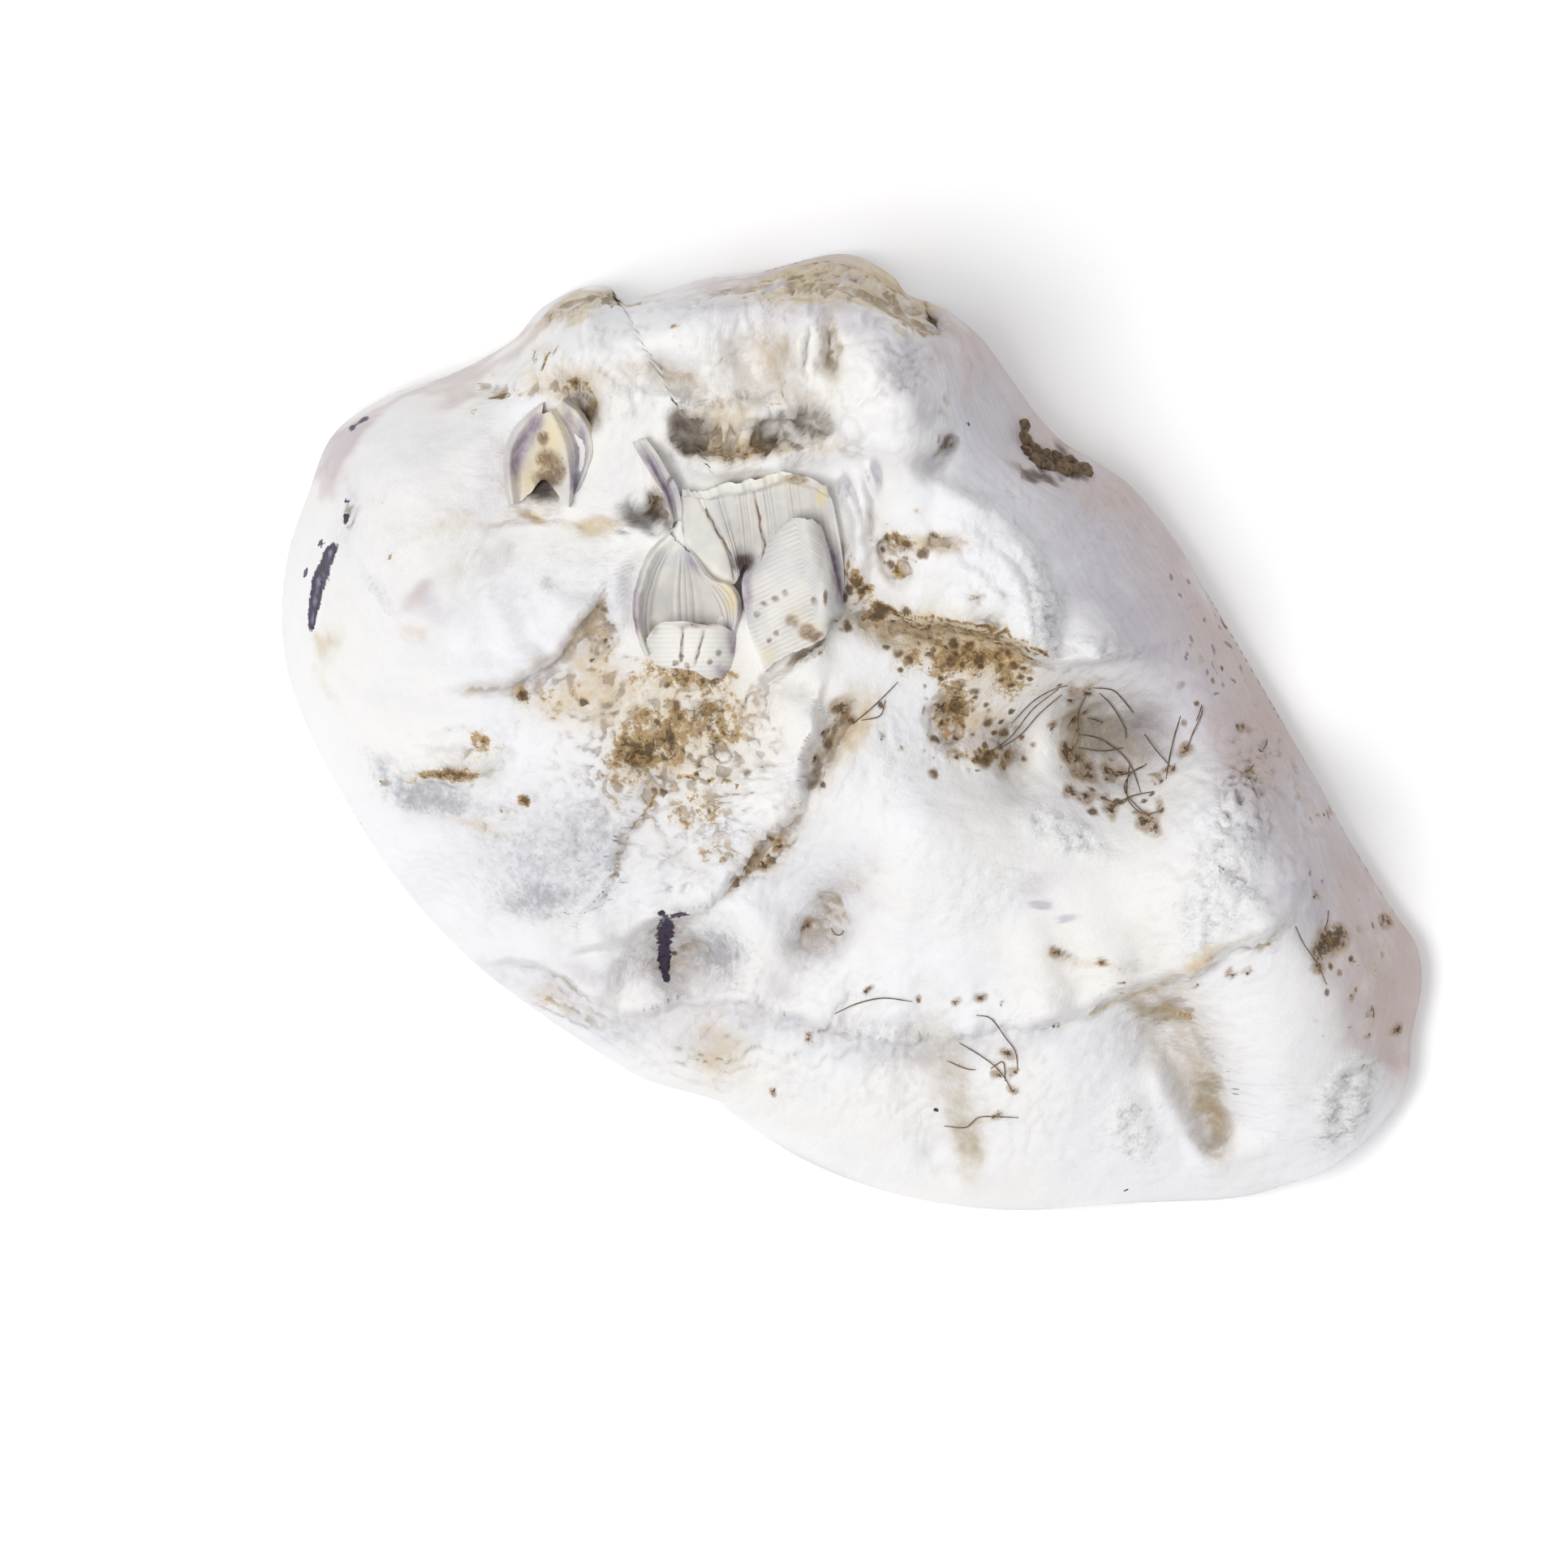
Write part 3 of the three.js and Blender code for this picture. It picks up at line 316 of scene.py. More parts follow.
# Colours that lie on the face, some of them painted shade, each as ovals (across, up, half-widths,
# turn, strength) and streaks (half-width, strength, line)
SHELL_MASKS = {
    "spotted": ([
        (8, 6, 6, 2, -12, 0.6), (-0.6, 13, 1.2, 3, -8, 0.6),
        (10.5, 0.5, 4, 4, 0, 0.75), (8.6, 2, 2, 3, 0, 0.6), (24, -5.4, 4, 2, -20, 0.4),
        (12, -2, 3, 1, 8, 0.8),
        (20.4, -1.6, 2, 4.6, 10, 0.5), (4.6, 16.6, 2.4, 1.8, 0, 0.6), (-15, 0, 7, 5, 0, 0.34),
        (-25, 3.6, 3, 1.2, 10, 0.5), (-22.4, 8.6, 1.6, 2.6, 0, 0.5), (2, 1.6, 1.4, 1.4, 0, 0.4),
        (-16.4, -19, 2.4, 2.6, 0, 0.3), (44, -22, 4, 8, 0, 0.16), (31, 6, 3, 6, -30, 0.2),
    ], [
        (1.6, 0.95, [(2, 10.4), (5, 9), (9, 8), (13, 6.8), (17.4, 5.2)]),
        (1.5, 0.75, [(8, 6), (9.6, 3), (9, 0.4)]),
        (0.9, 0.9, [(-0.4, 3), (-1.6, 0), (-3, -3), (-4.2, -6)]),
        (0.9, 0.75, [(-12.6, -14.6), (-9.6, -12.4), (-6.6, -10), (-5.4, -8.6)]),
    ]),
    "dirt": ([
        (-16, 1, 8, 5, 8, 0.52), (-18.5, -1.4, 4.2, 3, 0, 0.45), (-10.6, 1.2, 3.6, 4.4, 0, 0.42),
        (-15.4, 5.2, 6.2, 1.3, -4, 0.62), (-26.5, 3.6, 4, 1.7, 12, 0.55),
        (-22.4, 8.4, 1.8, 2.7, 0, 0.68),
        (-29.4, 3.6, 0.8, 1.1, 0, 0.9), (-13.6, -6.6, 4, 2.6, 0, 0.66), (-20.6, -4.4, 2.6, 3, 0, 0.4),
        (-12.2, -10.6, 3, 1.2, 10, 0.55),
        (-5.2, -6.8, 0.9, 2.4, 20, 0.4), (-36, -3.6, 3.6, 0.9, 0, 0.75), (-33, -1.2, 1.7, 1.7, 0, 0.7),
        (-35.4, 0.2, 2.6, 0.6, 0, 0.5), (4, 17, 1.4, 1.8, 0, 0.72), (6.8, 16.8, 3, 0.8, -8, 0.5),
        (4, 14.4, 0.8, 1.3, 0, 0.7), (8.4, 0.8, 1.7, 2.4, 0, 0.68), (11.6, -1.8, 2.6, 0.9, 8, 0.85),
        (11, 2, 2.4, 1.6, 0, 0.45), (0.4, 13.6, 0.8, 1.3, 30, 0.85), (1.7, 10.4, 1.2, 0.6, 0, 0.8),
        (-32.1, 30.4, 1.3, 1, 0, 0.95), (-33.6, 28.2, 1.6, 0.7, -20, 0.5),
        (-29.6, 30.4, 2.2, 0.6, 4, 0.6),
        (-27.7, 33, 0.45, 0.7, 10, 0.8), (-12.6, 26.2, 1.8, 1.4, 0, 0.5), (-9, 25, 7, 0.8, 2, 0.66),
        (-6.6, 29, 1.6, 0.7, 20, 0.55), (-15.4, 36.2, 0.7, 0.4, 0, 0.7),
        (-25.6, 36.6, 0.7, 0.5, 0, 0.7), (-4.6, 40.8, 3.2, 1.3, 4, 0.58), (3.4, 38, 3.6, 1, -25, 0.58),
        (-23, 38.6, 2.2, 1, 0, 0.4), (-11, 40.4, 1.4, 0.5, 0, 0.6), (-41.2, 15.4, 0.5, 0.55, 0, 0.9),
        (-39, 17.4, 1.6, 0.4, 30, 0.5),
        (-40.2, 18.4, 1.2, 0.5, 0, 0.45), (-41.5, 21.5, 1.6, 0.4, 20, 0.42), (38, 0, 5, 12, -32, 0.34),
        (46, -20, 3, 6, 0, 0.38), (30.6, -27, 3, 4.5, 20, 0.2), (32.4, -34.4, 1.7, 3.6, 10, 0.42),
        (28.4, -24.4, 3, 0.9, -12, 0.5), (-26.5, -24, 3.4, 0.7, -32, 0.5),
        (-12, -28.4, 3.6, 2, 0, 0.36),
        (-2, -16.2, 2.4, 4.4, -35, 0.36), (-16.4, -19, 2.8, 3, 0, 0.42),
        (-29.3, -5.9, 0.6, 0.6, 0, 0.8),
        (8, 28, 0.6, 0.9, 0, 0.6), (5.8, 19.4, 0.9, 1, 0, 0.5), (10.8, 11.8, 1, 0.8, 0, 0.5),
        (7.6, 11.4, 0.8, 0.9, 0, 0.5), (-31, -6.6, 0.7, 0.6, 0, 0.6), (36.4, -18.7, 1.6, 0.4, 20, 0.7),
        (7, 5.4, 4.6, 1.9, -10, 0.5), (15, 3.8, 3.4, 1.6, -10, 0.46), (-1.4, 14, 0.9, 3, -8, 0.6),
        (-1, -26.6, 1.6, 0.5, 0, 0.34), (18.5, -19.5, 1.4, 0.4, -10, 0.66), (24, -20.6, 1, 0.4, 0, 0.5),
    ], [
        (1.5, 0.52, [(-0.8, 13.4), (1, 11), (4, 9.6), (9, 8.4), (13, 7.2), (17.4, 5.6)]),
        (0.4, 0.8, [(0.6, 12), (3.4, 10.8), (8, 10.2), (12.4, 9), (16, 7.4), (19, 5.6)]),
        (1.9, 0.5, [(3, 8), (7, 6.4), (11, 6.2), (15.6, 4.6)]),
        (1.6, 0.45, [(8, 5.6), (9.6, 3), (9, 0.4)]),
        (1.0, 0.5, [(0.4, 4), (-1.4, 0.4), (-2.9, -2.8), (-4.2, -6.2)]),
        (0.6, 0.85, [(-6.4, 6.6), (-4.4, 6.6), (-1.6, 8.6)]),
        (0.14, 0.75, [(-17, -4), (-19, -8), (-20.5, -11), (-22, -14), (-24, -16), (-24.3, -19.4)]),
        (0.14, 0.7, [(-17.2, -3.4), (-14.6, -4), (-10.6, -4.6), (-7.6, -5.6)]),
        (0.7, 0.62, [(-12.6, -14.6), (-9.6, -12.4), (-6.6, -10), (-5.4, -8.6)]),
        (0.9, 0.7, [(-27, 30.6), (-25, 31), (-23.4, 29), (-22.4, 26.4)]),
        (0.3, 0.6, [(-24.6, -16.6), (-27, -15.4)]),
        (0.7, 0.7, [(-19.4, 19.6), (-16.2, 20.4), (-16, 18)]),
        (0.4, 0.6, [(6, 24.2), (8, 25.6), (9.4, 27)]),
    ]),
    "tan": ([
        (-16, 0.5, 9.5, 7, 5, 0.34), (-24, 3.4, 6.5, 2.6, 12, 0.34), (-12, 28, 4, 2.6, 0, 0.4),
        (-2, 34.2, 0.7, 3.4, 0, 0.3), (-16.2, 32, 3.4, 0.9, -12, 0.3),
        (-35.5, 18.4, 4, 1.4, 0, 0.28), (8.6, 8.2, 9, 2.8, -16, 0.6), (0.4, 0.4, 1.6, 4.4, -24, 0.45),
        (-12.4, -28, 3.4, 3, 0, 0.34), (-25.6, -23.8, 4, 1, -30, 0.45), (7, 17, 4, 1.3, 0, 0.42),
        (-9, 25.2, 8.5, 1.4, 2, 0.4), (-25.6, 31.4, 5, 1.6, 0, 0.4), (-30.6, 20, 2, 4, 0, 0.2),
        (-23.6, 8, 2, 3.6, -20, 0.4), (-4, 39.8, 8.5, 2.2, 2, 0.6), (4.6, 37.6, 5.4, 1.6, -28, 0.55),
        (-24.6, 37.6, 5.6, 1.7, 18, 0.55), (-22.6, 18.6, 2.4, 0.9, 0, 0.5),
        (-28.4, 19.2, 1.6, 0.5, -20, 0.5),
        (11, 0.4, 4, 3.6, 0, 0.4), (19.6, -2.2, 2, 5, 15, 0.3), (-8, -11, 4, 2, 35, 0.42),
        (-0.6, -14, 2, 4.6, -35, 0.25), (33, -19, 5, 0.8, 22, 0.4), (-47, 8.5, 0.7, 2.4, -20, 0.4),
        (-46.6, 4, 0.6, 2.6, 30, 0.25), (20, -20, 5, 0.6, -8, 0.25), (46, -24, 3.5, 7, 0, 0.14),
        (-34, -8, 3.4, 0.8, -15, 0.4), (-17, 22, 1, 1.4, 0, 0.4), (36.5, -3.5, 1.6, 1, 0, 0.4),
    ], [
        # Under the lip of the left shoulder: partly a tan stain, partly painted shade
        (0.7, 0.34, [(-35.5, 4.1), (-32, 4.4), (-29, 5.2), (-26, 7.2), (-23.4, 9.8), (-21.3, 13.4)]),
        (0.5, 0.4, [(19, -25.4), (23, -24), (28, -21.8), (33, -19.9)]),
        (0.35, 0.4, [(8.2, -35), (10.1, -35.1), (11.2, -34.2), (14.8, -34.2)]),
        (1.0, 0.34, [(-41, 10.4), (-38.6, 8.8), (-36.8, 7.4)]),
    ]),
    "olive": ([
        # The first two ovals, in the long hollow, are painted shade; the rest is the shell's own olive
        (23.6, 0.2, 4.6, 3.4, -14, 0.45), (20, 1, 2, 3, 0, 0.3),
        (30, -27.5, 3.2, 5.6, 22, 0.2), (32.4, -34, 1.8, 4.4, 14, 0.42), (9.2, -31, 2.6, 6.4, 18, 0.3),
        (10.5, -37.5, 2, 3, 10, 0.34), (27, -24.4, 3.6, 1.2, -15, 0.42),
        (-33.4, -3.2, 2.4, 1.4, 0, 0.3),
        (-18, -2.8, 3.6, 2, -15, 0.3), (4.8, -27.8, 1.6, 2, 20, 0.34), (-27.6, 23, 1.6, 2, 0, 0.3),
    ], []),
    "grey": ([
        # This first oval, in the long hollow, is painted shade; the rest is grey chalky layers
        (24, -0.2, 5, 3.6, -14, 0.5),
        (-38.4, -5.2, 4.6, 1.7, -12, 0.75), (-42, -2.6, 3, 1.6, -20, 0.35),
        (-30.5, -11.5, 6, 5, -10, 0.3), (-24, -10, 7, 7, -10, 0.3),
        (-27.6, -14.8, 3.2, 1.6, 0, 0.6), (-12, -19.2, 3, 2.8, -15, 0.66),
        (-17.8, -19.4, 2.8, 3, 0, 0.42),
        (-2.8, -15.8, 3, 5.6, -35, 0.36), (-28.5, 13.6, 3.4, 4, 0, 0.16),
        (-32.6, 22.6, 1.1, 4.6, 0, 0.26),
        (-27, 13.4, 0.9, 1.1, 0, 0.4), (-22.4, -9, 3, 4, 0, 0.24), (13.6, -0.6, 1.4, 2.2, 0, 0.55),
        (9.4, -1, 2.6, 0.9, 20, 0.5), (-17, -26.5, 6, 1.8, -16, 0.2), (36, -8, 2.4, 6, -8, 0.34),
        (33, -15, 2.6, 5, -20, 0.16), (44.4, -32.6, 1.8, 4, -25, 0.22), (-7, 28.6, 2.2, 1.2, 0, 0.34),
        (1.5, 34, 1, 2, 0, 0.16), (9, -31, 2.4, 6, 15, 0.26), (3.2, -0.4, 1.6, 2, 0, 0.14),
    ], [
        (0.8, 0.4, [(14.6, 17.6), (16.6, 14), (17.2, 10), (18, 7.6)]),
        (0.5, 0.4, [(12.6, 14), (13.8, 11.4), (14, 9.4)]),
    ]),
    # Partly the shell's own lilac, partly painted shade: the two streaks and the wide oval right of the
    # middle lobe darken the flank that faces away from the light
    "lilac_and_flank_shade": ([
        (-46.4, 25.6, 1.5, 3.6, -38, 0.8), (-37, 10.8, 2.4, 1.8, -24, 0.26),
        (-38.4, 12.4, 1.4, 1.1, 0, 0.22),
        (-23.6, -21.6, 3.6, 1.1, -25, 0.3), (-6.2, -22.3, 2.2, 1.5, -48, 0.25),
        (3.4, -25.8, 6, 0.9, -3, 0.2),
        (16.8, -15.5, 1, 0.45, 0, 0.75), (19.2, -16.4, 0.9, 0.4, 0, 0.6),
        (38.3, -13.8, 0.5, 0.9, 15, 0.5),
        (1.8, 23, 0.5, 1.4, 8, 0.9), (-0.7, 21.8, 0.4, 1.5, 8, 0.9), (26, 0.3, 1.7, 2, -12, 0.6),
        (26, 12.8, 7, 6, -50, 0.24), (16.4, -13.6, 3, 1.4, 15, 0.22), (-16, -24, 4.4, 1, 6, 0.2),
        (40.6, -12, 1.4, 6, 0, 0.3), (-6, -3.2, 1.4, 2.6, 10, 0.2), (11.6, 0.8, 1.4, 2, 0, 0.4),
        (-44.4, 21.6, 0.6, 2.4, 0, 0.4), (8, 22.5, 2.4, 0.8, -40, 0.25), (6.4, -29, 1.6, 1.6, 0, 0.25),
    ], [
        (5.5, 0.4, [(5, 39), (11, 33), (14, 27), (21, 18), (28, 9), (37, -3), (45, -18)]),
        (1.4, 0.3, [(-16, 38.6), (-8, 37.6), (0, 36.6), (5.4, 31), (6.6, 26)]),
    ]),
    # Partly the shell's own pinkish grey, partly painted shade: the first two ovals and the first two
    # streaks darken the outer flank that faces away from the light
    "rose_and_flank_shade": ([
        (49, -23, 2.6, 8, 0, 0.9), (44.6, -17, 2.6, 8, 8, 0.5), (-6, 42, 12, 1.2, 0, 0.4),
        (-38.2, 12.4, 1.6, 0.9, 30, 0.35),
    ], [
        (4.4, 0.6, [(9, 38), (15, 31), (22, 25), (29.5, 17.5), (36, 6.5), (42.5, -4.5), (50, -18),
          (50, -30)]),
        (3.6, 0.62, [(33, 4), (38, -3), (42.4, -9), (45, -15), (46.6, -21), (48, -28)]),
        (1.6, 0.3, [(-48, 20), (-44, 28), (-36, 32), (-30, 35.5), (-24, 39.6)]),
    ]),
    "ink": ([
        (-46.6, 16, 0.62, 1.2, -28, 1), (-47.4, 14, 0.72, 1.5, -22, 1), (-47.9, 12, 0.58, 1.5, -12, 1),
        (-48.2, 10.2, 0.36, 1.1, -4, 1), (-48.8, 14.4, 0.2, 0.55, -10, 1), (-47.4, 17, 0.3, 0.4, 0, 1),
        (-16.6, -17.2, 0.95, 1.1, 0, 0.7), (-16.8, -18.8, 0.8, 1.5, 0, 0.7),
        (-16.8, -20.5, 0.62, 1.2, 4, 0.7),
        (-16.6, -21.8, 0.4, 0.6, 0, 0.7), (-15.4, -16.1, 1.1, 0.25, 4, 0.8),
        (-17, -15.9, 0.4, 0.3, 0, 0.8),
        (-43.5, 28.1, 0.5, 0.32, 20, 0.8), (-44.6, 27.4, 0.3, 0.7, -50, 0.7),
        (-45.1, 19.2, 0.3, 0.7, 0, 0.9),
        (-45, 20.8, 0.3, 0.3, 0, 0.8), (7.5, -33.5, 0.25, 0.2, 0, 1), (10.2, 27.5, 0.2, 0.18, 0, 1),
        (24.5, -40.7, 0.25, 0.14, 0, 1),
    ], []),
    # Tan-brown, partly a soft stain and partly painted warm shade in the hollows, creases and grooves
    "buff_stain_and_shade": ([
        (-6.9, 33.2, 1.6, 3.1, 14, 0.85), (-5.8, 30.6, 1.2, 1.6, 30, 0.5),
        (-2, 33.8, 0.85, 2.9, 4, 0.95),
        (-17, 32, 4, 1.3, -12, 0.55), (-13.4, 28.6, 2, 1.6, 0, 0.3), (-24.4, 30.4, 3, 1.6, -30, 0.4),
        (-3.6, 28.4, 2, 1.6, -15, 0.45), (-9, 25.6, 8, 1.2, 2, 0.3), (29.6, -27, 3.2, 6.4, 22, 0.34),
        (32.2, -34, 1.8, 4.4, 14, 0.42), (26.6, -24.2, 3, 1, -14, 0.4), (8.6, -30, 1.8, 5.6, 18, 0.45),
        (10.6, -37.6, 1.3, 2.6, 12, 0.5), (-12, -27.6, 2.6, 2.8, 0, 0.35),
        (-27.4, 20, 1.2, 0.8, 0, 0.4),
        (-1.8, -1.5, 1.4, 4.6, -26, 0.55), (-0.4, 2.6, 1, 1.6, -20, 0.5),
        (-5.4, -8.8, 1.4, 3, -50, 0.4),
        (-2.2, -16.2, 2.2, 4, -35, 0.45), (9.6, 7.6, 8, 1.7, -18, 0.4), (-0.6, 12, 1.3, 3, -10, 0.5),
        (-46.6, 8, 0.6, 2.2, -20, 0.3), (-34, 15, 5, 1.1, 25, 0.2), (2.6, 16, 1.6, 5, 4, 0.3),
    ], []),
    # Painted shade in the holes and in the long hollow
    "umber_shade": ([
        (23.2, 0.4, 4.2, 3.2, -16, 0.62), (20, 1.4, 1.8, 2.4, 0, 0.35),
        (-15.8, -19.8, 3.4, 2.4, -8, 0.3),
        (13.8, -1.4, 1.6, 2.2, 0, 0.5), (8.8, 0.6, 1.5, 2, 0, 0.35), (-14.3, 27, 1.5, 1.5, 20, 0.36),
        (-7, 26.5, 1.8, 0.9, 35, 0.6), (-3.6, 28.2, 1.7, 1.1, -15, 0.34),
        (-18.2, 19.5, 1.9, 1.2, 0, 0.55),
        (-23.4, 28.4, 1.2, 1.8, 35, 0.55), (-27.6, 22.2, 2.2, 1.3, 0, 0.3),
        (26.2, 0.6, 2.4, 2.2, -12, 0.4),
    ], []),
    "shadow": ([
        (-38, 16, 9, 10, 0, 0.28), (-27, -11, 8, 7, -10, 0.5), (-15, -20, 5, 3.2, -5, 0.6),
        (-3, -15, 3.6, 6, -35, 0.5),
        (-37, -6, 4, 3, -15, 0.35), (-20, -7, 4, 6, 0, 0.3), (-13, -11, 5, 3, 0, 0.25),
        (-36, 26, 6, 2, 15, 0.25),
        (-18, -26.6, 7, 1.6, -6, 0.5), (-8, -26, 4, 1.6, 10, 0.4), (-26, -22.8, 4, 0.8, -30, 0.4),
        (-21, -21, 4, 1.2, -18, 0.35), (-33.4, -22.4, 3, 0.8, -38, 0.3), (-40, 3, 5, 1.6, -12, 0.2),
        (-33, 6, 5, 1.2, -6, 0.3), (-32.4, 22, 1.7, 5, 0, 0.5), (-30, 14, 3.4, 4, 0, 0.35),
        (-44, 22, 1.2, 4, -20, 0.3), (-24, 14, 2, 5, -25, 0.3), (10, -22, 6, 2, 14, 0.2),
        (1, -28.6, 6, 1.4, -4, 0.3),
        (15, -27.6, 6, 1.4, 8, 0.25), (-30, 27, 3, 4, 0, 0.25), (-21, 23, 3, 3, 0, 0.25),
        (37.4, -9, 2.6, 6, -12, 0.6), (28.6, 1, 4, 3, -20, 0.7), (41.6, -14, 1.8, 7, 0, 0.5),
        (44, -24, 1.6, 5, 14, 0.4), (11.6, 28, 3.2, 5.4, -10, 0.85), (24, 16, 3, 5, -38, 0.4),
        (-38, -13, 2, 5, -35, 0.2), (18, 10, 1.2, 5, -4, 0.3), (21, 16, 2, 5, -30, 0.35),
    ], [
        (1.1, 0.6, [
            (-35, -20.6), (-33, -21.5), (-29.5, -21.6), (-26.5, -22.8), (-24, -24.9), (-21, -26),
            (-18, -25.8),
            (-14, -24.9), (-10.5, -24.9), (-7, -25.7), (-1, -27.7), (6, -28.4), (14, -27.2),
            (19, -26.2)]),
        (0.8, 0.6, [(39.6, -15.6), (40.7, -12), (40.5, -8), (39.4, -4)]),
        (1.2, 0.5, [(-20, 15.6), (-20.6, 12.6), (-22.4, 9.4), (-25.4, 6.6), (-29, 4.5), (-34, 3.4)]),
        (0.7, 0.5, [(19.2, 8.4), (18.6, 12), (16.6, 17), (12.4, 21.4), (8.4, 23.4)]),
    ]),
    "shade": ([
        (-14.8, 26.8, 0.9, 1.2, 15, 0.5), (-3, 27.8, 1.2, 0.7, -20, 0.4),
        (-17.4, 19.4, 1.4, 0.9, 0, 0.85),
        (-7, 26.4, 1.1, 0.55, 36, 0.85), (2, 10.6, 1, 0.5, 0, 0.6), (-27.6, 21.8, 2.6, 1.5, 0, 0.85),
        (-23.6, 28.2, 1, 1.6, 30, 0.6),
        (-9.6, 15, 1.4, 1.4, 0, 0.6), (-4, 7.2, 2.4, 0.8, 25, 0.7), (17.6, 24, 3, 1.3, -12, 0.85),
        (-15.6, 27.8, 1, 1, 0, 0.4), (-45, 20, 0.4, 1.1, 0, 0.7),
    ], [
        (0.4, 0.6, [(0.2, 3.6), (-1.6, 0), (-3, -3), (-4.2, -6)]),
        (0.5, 0.5, [(6, 24), (8, 25.6), (9.6, 27)]),
    ]),
    "cream": ([
        (-20, 28, 9, 6, 0, 0.4), (-36, 18, 8, 4, 0, 0.25), (4, 15.5, 4, 4, 0, 0.6),
        (0, -2, 4, 8, 0, 0.5),
        (-14, 0, 10, 8, 0, 0.7), (8, -20, 16, 4, 0, 0.35), (30, -28, 6, 10, 20, 0.45),
        (12, 4, 12, 6, -20, 0.5),
        (-46, 8, 3, 8, 0, 0.12), (14, -33, 10, 6, 0, 0.16), (-10, -29, 7, 4, 0, 0.4),
        (-28, 25, 5, 6, 0, 0.4),
        (-33, 31, 8, 3, 20, 0.5), (-4, 33, 6, 6, 0, 0.4),
    ], []),
}

# Dark dried tufts, as points with a size
TUFTS = [
    # round the long hollow
    (19.3, 3, 0.5), (20.9, 3.6, 0.55), (19.6, 1.2, 0.5), (17.7, 0.5, 0.45), (19, -1.6, 0.55),
    (20, -2.1, 0.5), (21, -3, 0.5), (22.6, -3.3, 0.45), (23.8, -3.4, 0.45), (19.4, -4.9, 0.5),
    (20.7, -5.5, 0.55), (22.3, -5.7, 0.4), (23, -6.8, 0.45), (27.5, -4.2, 0.45), (28.6, -3.1, 0.45),
    (29.7, -1.2, 0.45), (27.5, -6.8, 0.45), (25.9, -7.8, 0.5), (26.9, -8.3, 0.5),
    # left of it and beside the cone
    (7.9, 2.5, 0.6), (9.2, -2.1, 0.4), (11.8, -2.4, 0.5), (13.6, -1.8, 0.5), (-1.2, 2.3, 0.7),
    (-2.7, 0.1, 0.5), (-0.2, 1.2, 0.4), (-3.4, -2.2, 0.4), (2.5, -0.5, 0.22), (4.3, -1.2, 0.2),
    # outer flank
    (34.3, 0.7, 0.4), (36.4, -1.5, 0.32), (35.3, -2.9, 0.2), (42.1, -7.2, 0.26), (41.1, -14.5, 0.26),
    (42.4, -18.3, 1.0), (41.6, -18.9, 0.6), (43.2, -18, 0.6), (41.5, -20.6, 0.45), (47.9, -16.8, 0.42),
    (48.8, -26.4, 0.45), (46.3, -24.6, 0.24), (46.1, -26.8, 0.24), (44.4, -23.3, 0.2),
    # lower ribs
    (18.3, -19.4, 0.34), (22.1, -20.3, 0.3), (24.1, -22.1, 0.22), (33.8, -21.4, 0.36),
    (35.1, -21.3, 0.28),
    (30.7, -22.3, 0.22), (1.2, -22.9, 0.36), (5.8, -23.7, 0.3), (9, -23.8, 0.26), (11.3, -23.5, 0.42),
    (13.2, -24.1, 0.16), (17.9, -26, 0.22), (13.8, -28.4, 0.4), (14.5, -30.1, 0.38),
    (13.1, -30.4, 0.36),
    (14.4, -31.8, 0.34), (12.6, -34.1, 0.34), (-7, -31.8, 0.3), (-3.9, -27.2, 0.34),
    # left of the centre rib
    (-6.5, -10, 0.4), (-8, -11.5, 0.5), (-10.2, -13, 0.3), (-4, -17, 0.42), (-42.1, -4.2, 0.22),
]

# Fine dark marks of the outer flank, flush with it: across, up, length, direction in degrees
FLANK_MARKS = [
    (30.2, 8.4, 1.2, 100), (29.7, 6.9, 1.3, 80), (31.6, 5.5, 0.8, 95), (32.2, 7.6, 1.4, 105),
    (33.6, 8, 1.2, 140), (32.4, 3.6, 0.8, 20), (34, 4.8, 0.9, 140), (30, 13.6, 0.8, 110),
    (28.4, 14, 0.9, 100), (29.2, 12.4, 0.7, 110), (31.4, 10.2, 0.6, 90), (44.9, -20.5, 0.8, 130),
    (34.9, -15.6, 0.7, 100), (40.7, -12.4, 0.8, 75), (41.8, -13.2, 0.5, 90), (44.3, -26.2, 1.0, 150),
    (33.4, -30.4, 0.9, 75), (34.2, -31.8, 1.1, 80), (33.1, -28.4, 0.6, 70),
]


# Noise and soft steps

def smooth(x, low, high):
    t = np.clip((x - low) / (high - low), 0, 1)
    return t * t * (3 - 2 * t)


def lattice(cell, seed):
    """A number between -1 and 1 for each whole-numbered cell."""
    x, y, z = (cell[:, i].astype(np.uint32) for i in range(3))
    mixed = x * np.uint32(374761393) + y * np.uint32(668265263) + z * np.uint32(2246822519)
    mixed = mixed + np.uint32(seed * 3266489917 % 2**32)
    mixed = (mixed ^ (mixed >> np.uint32(13))) * np.uint32(1274126177)
    mixed = mixed ^ (mixed >> np.uint32(16))
    return (mixed & np.uint32(0xFFFF)).astype(float) / 32767.5 - 1


def noise(points, size, seed):
    """Smooth lumps about size across, between -1 and 1, at points in millimetres."""
    scaled = points / size + 1000
    cell = np.floor(scaled)
    share = scaled - cell
    share = share**3 * (share * (share * 6 - 15) + 10)
    cell = cell.astype(np.int64)
    total = np.zeros(len(points))
    for corner in np.ndindex(2, 2, 2):
        weight = np.ones(len(points))
        for axis, side in enumerate(corner):
            weight = weight * (share[:, axis] if side else 1 - share[:, axis])
        total += weight * lattice(cell + np.array(corner), seed)
    return total


def rough(points, size, seed, octaves=4):
    """Noise with finer and finer lumps added, about between -1 and 1."""
    total = sum(noise(points, size / 2**k, seed + k) * 0.55**k for k in range(octaves))
    return total / 1.6


def on_sheet(u, v):
    return np.stack([u, v, np.zeros_like(u)], axis=1)


# Curves on the sheet

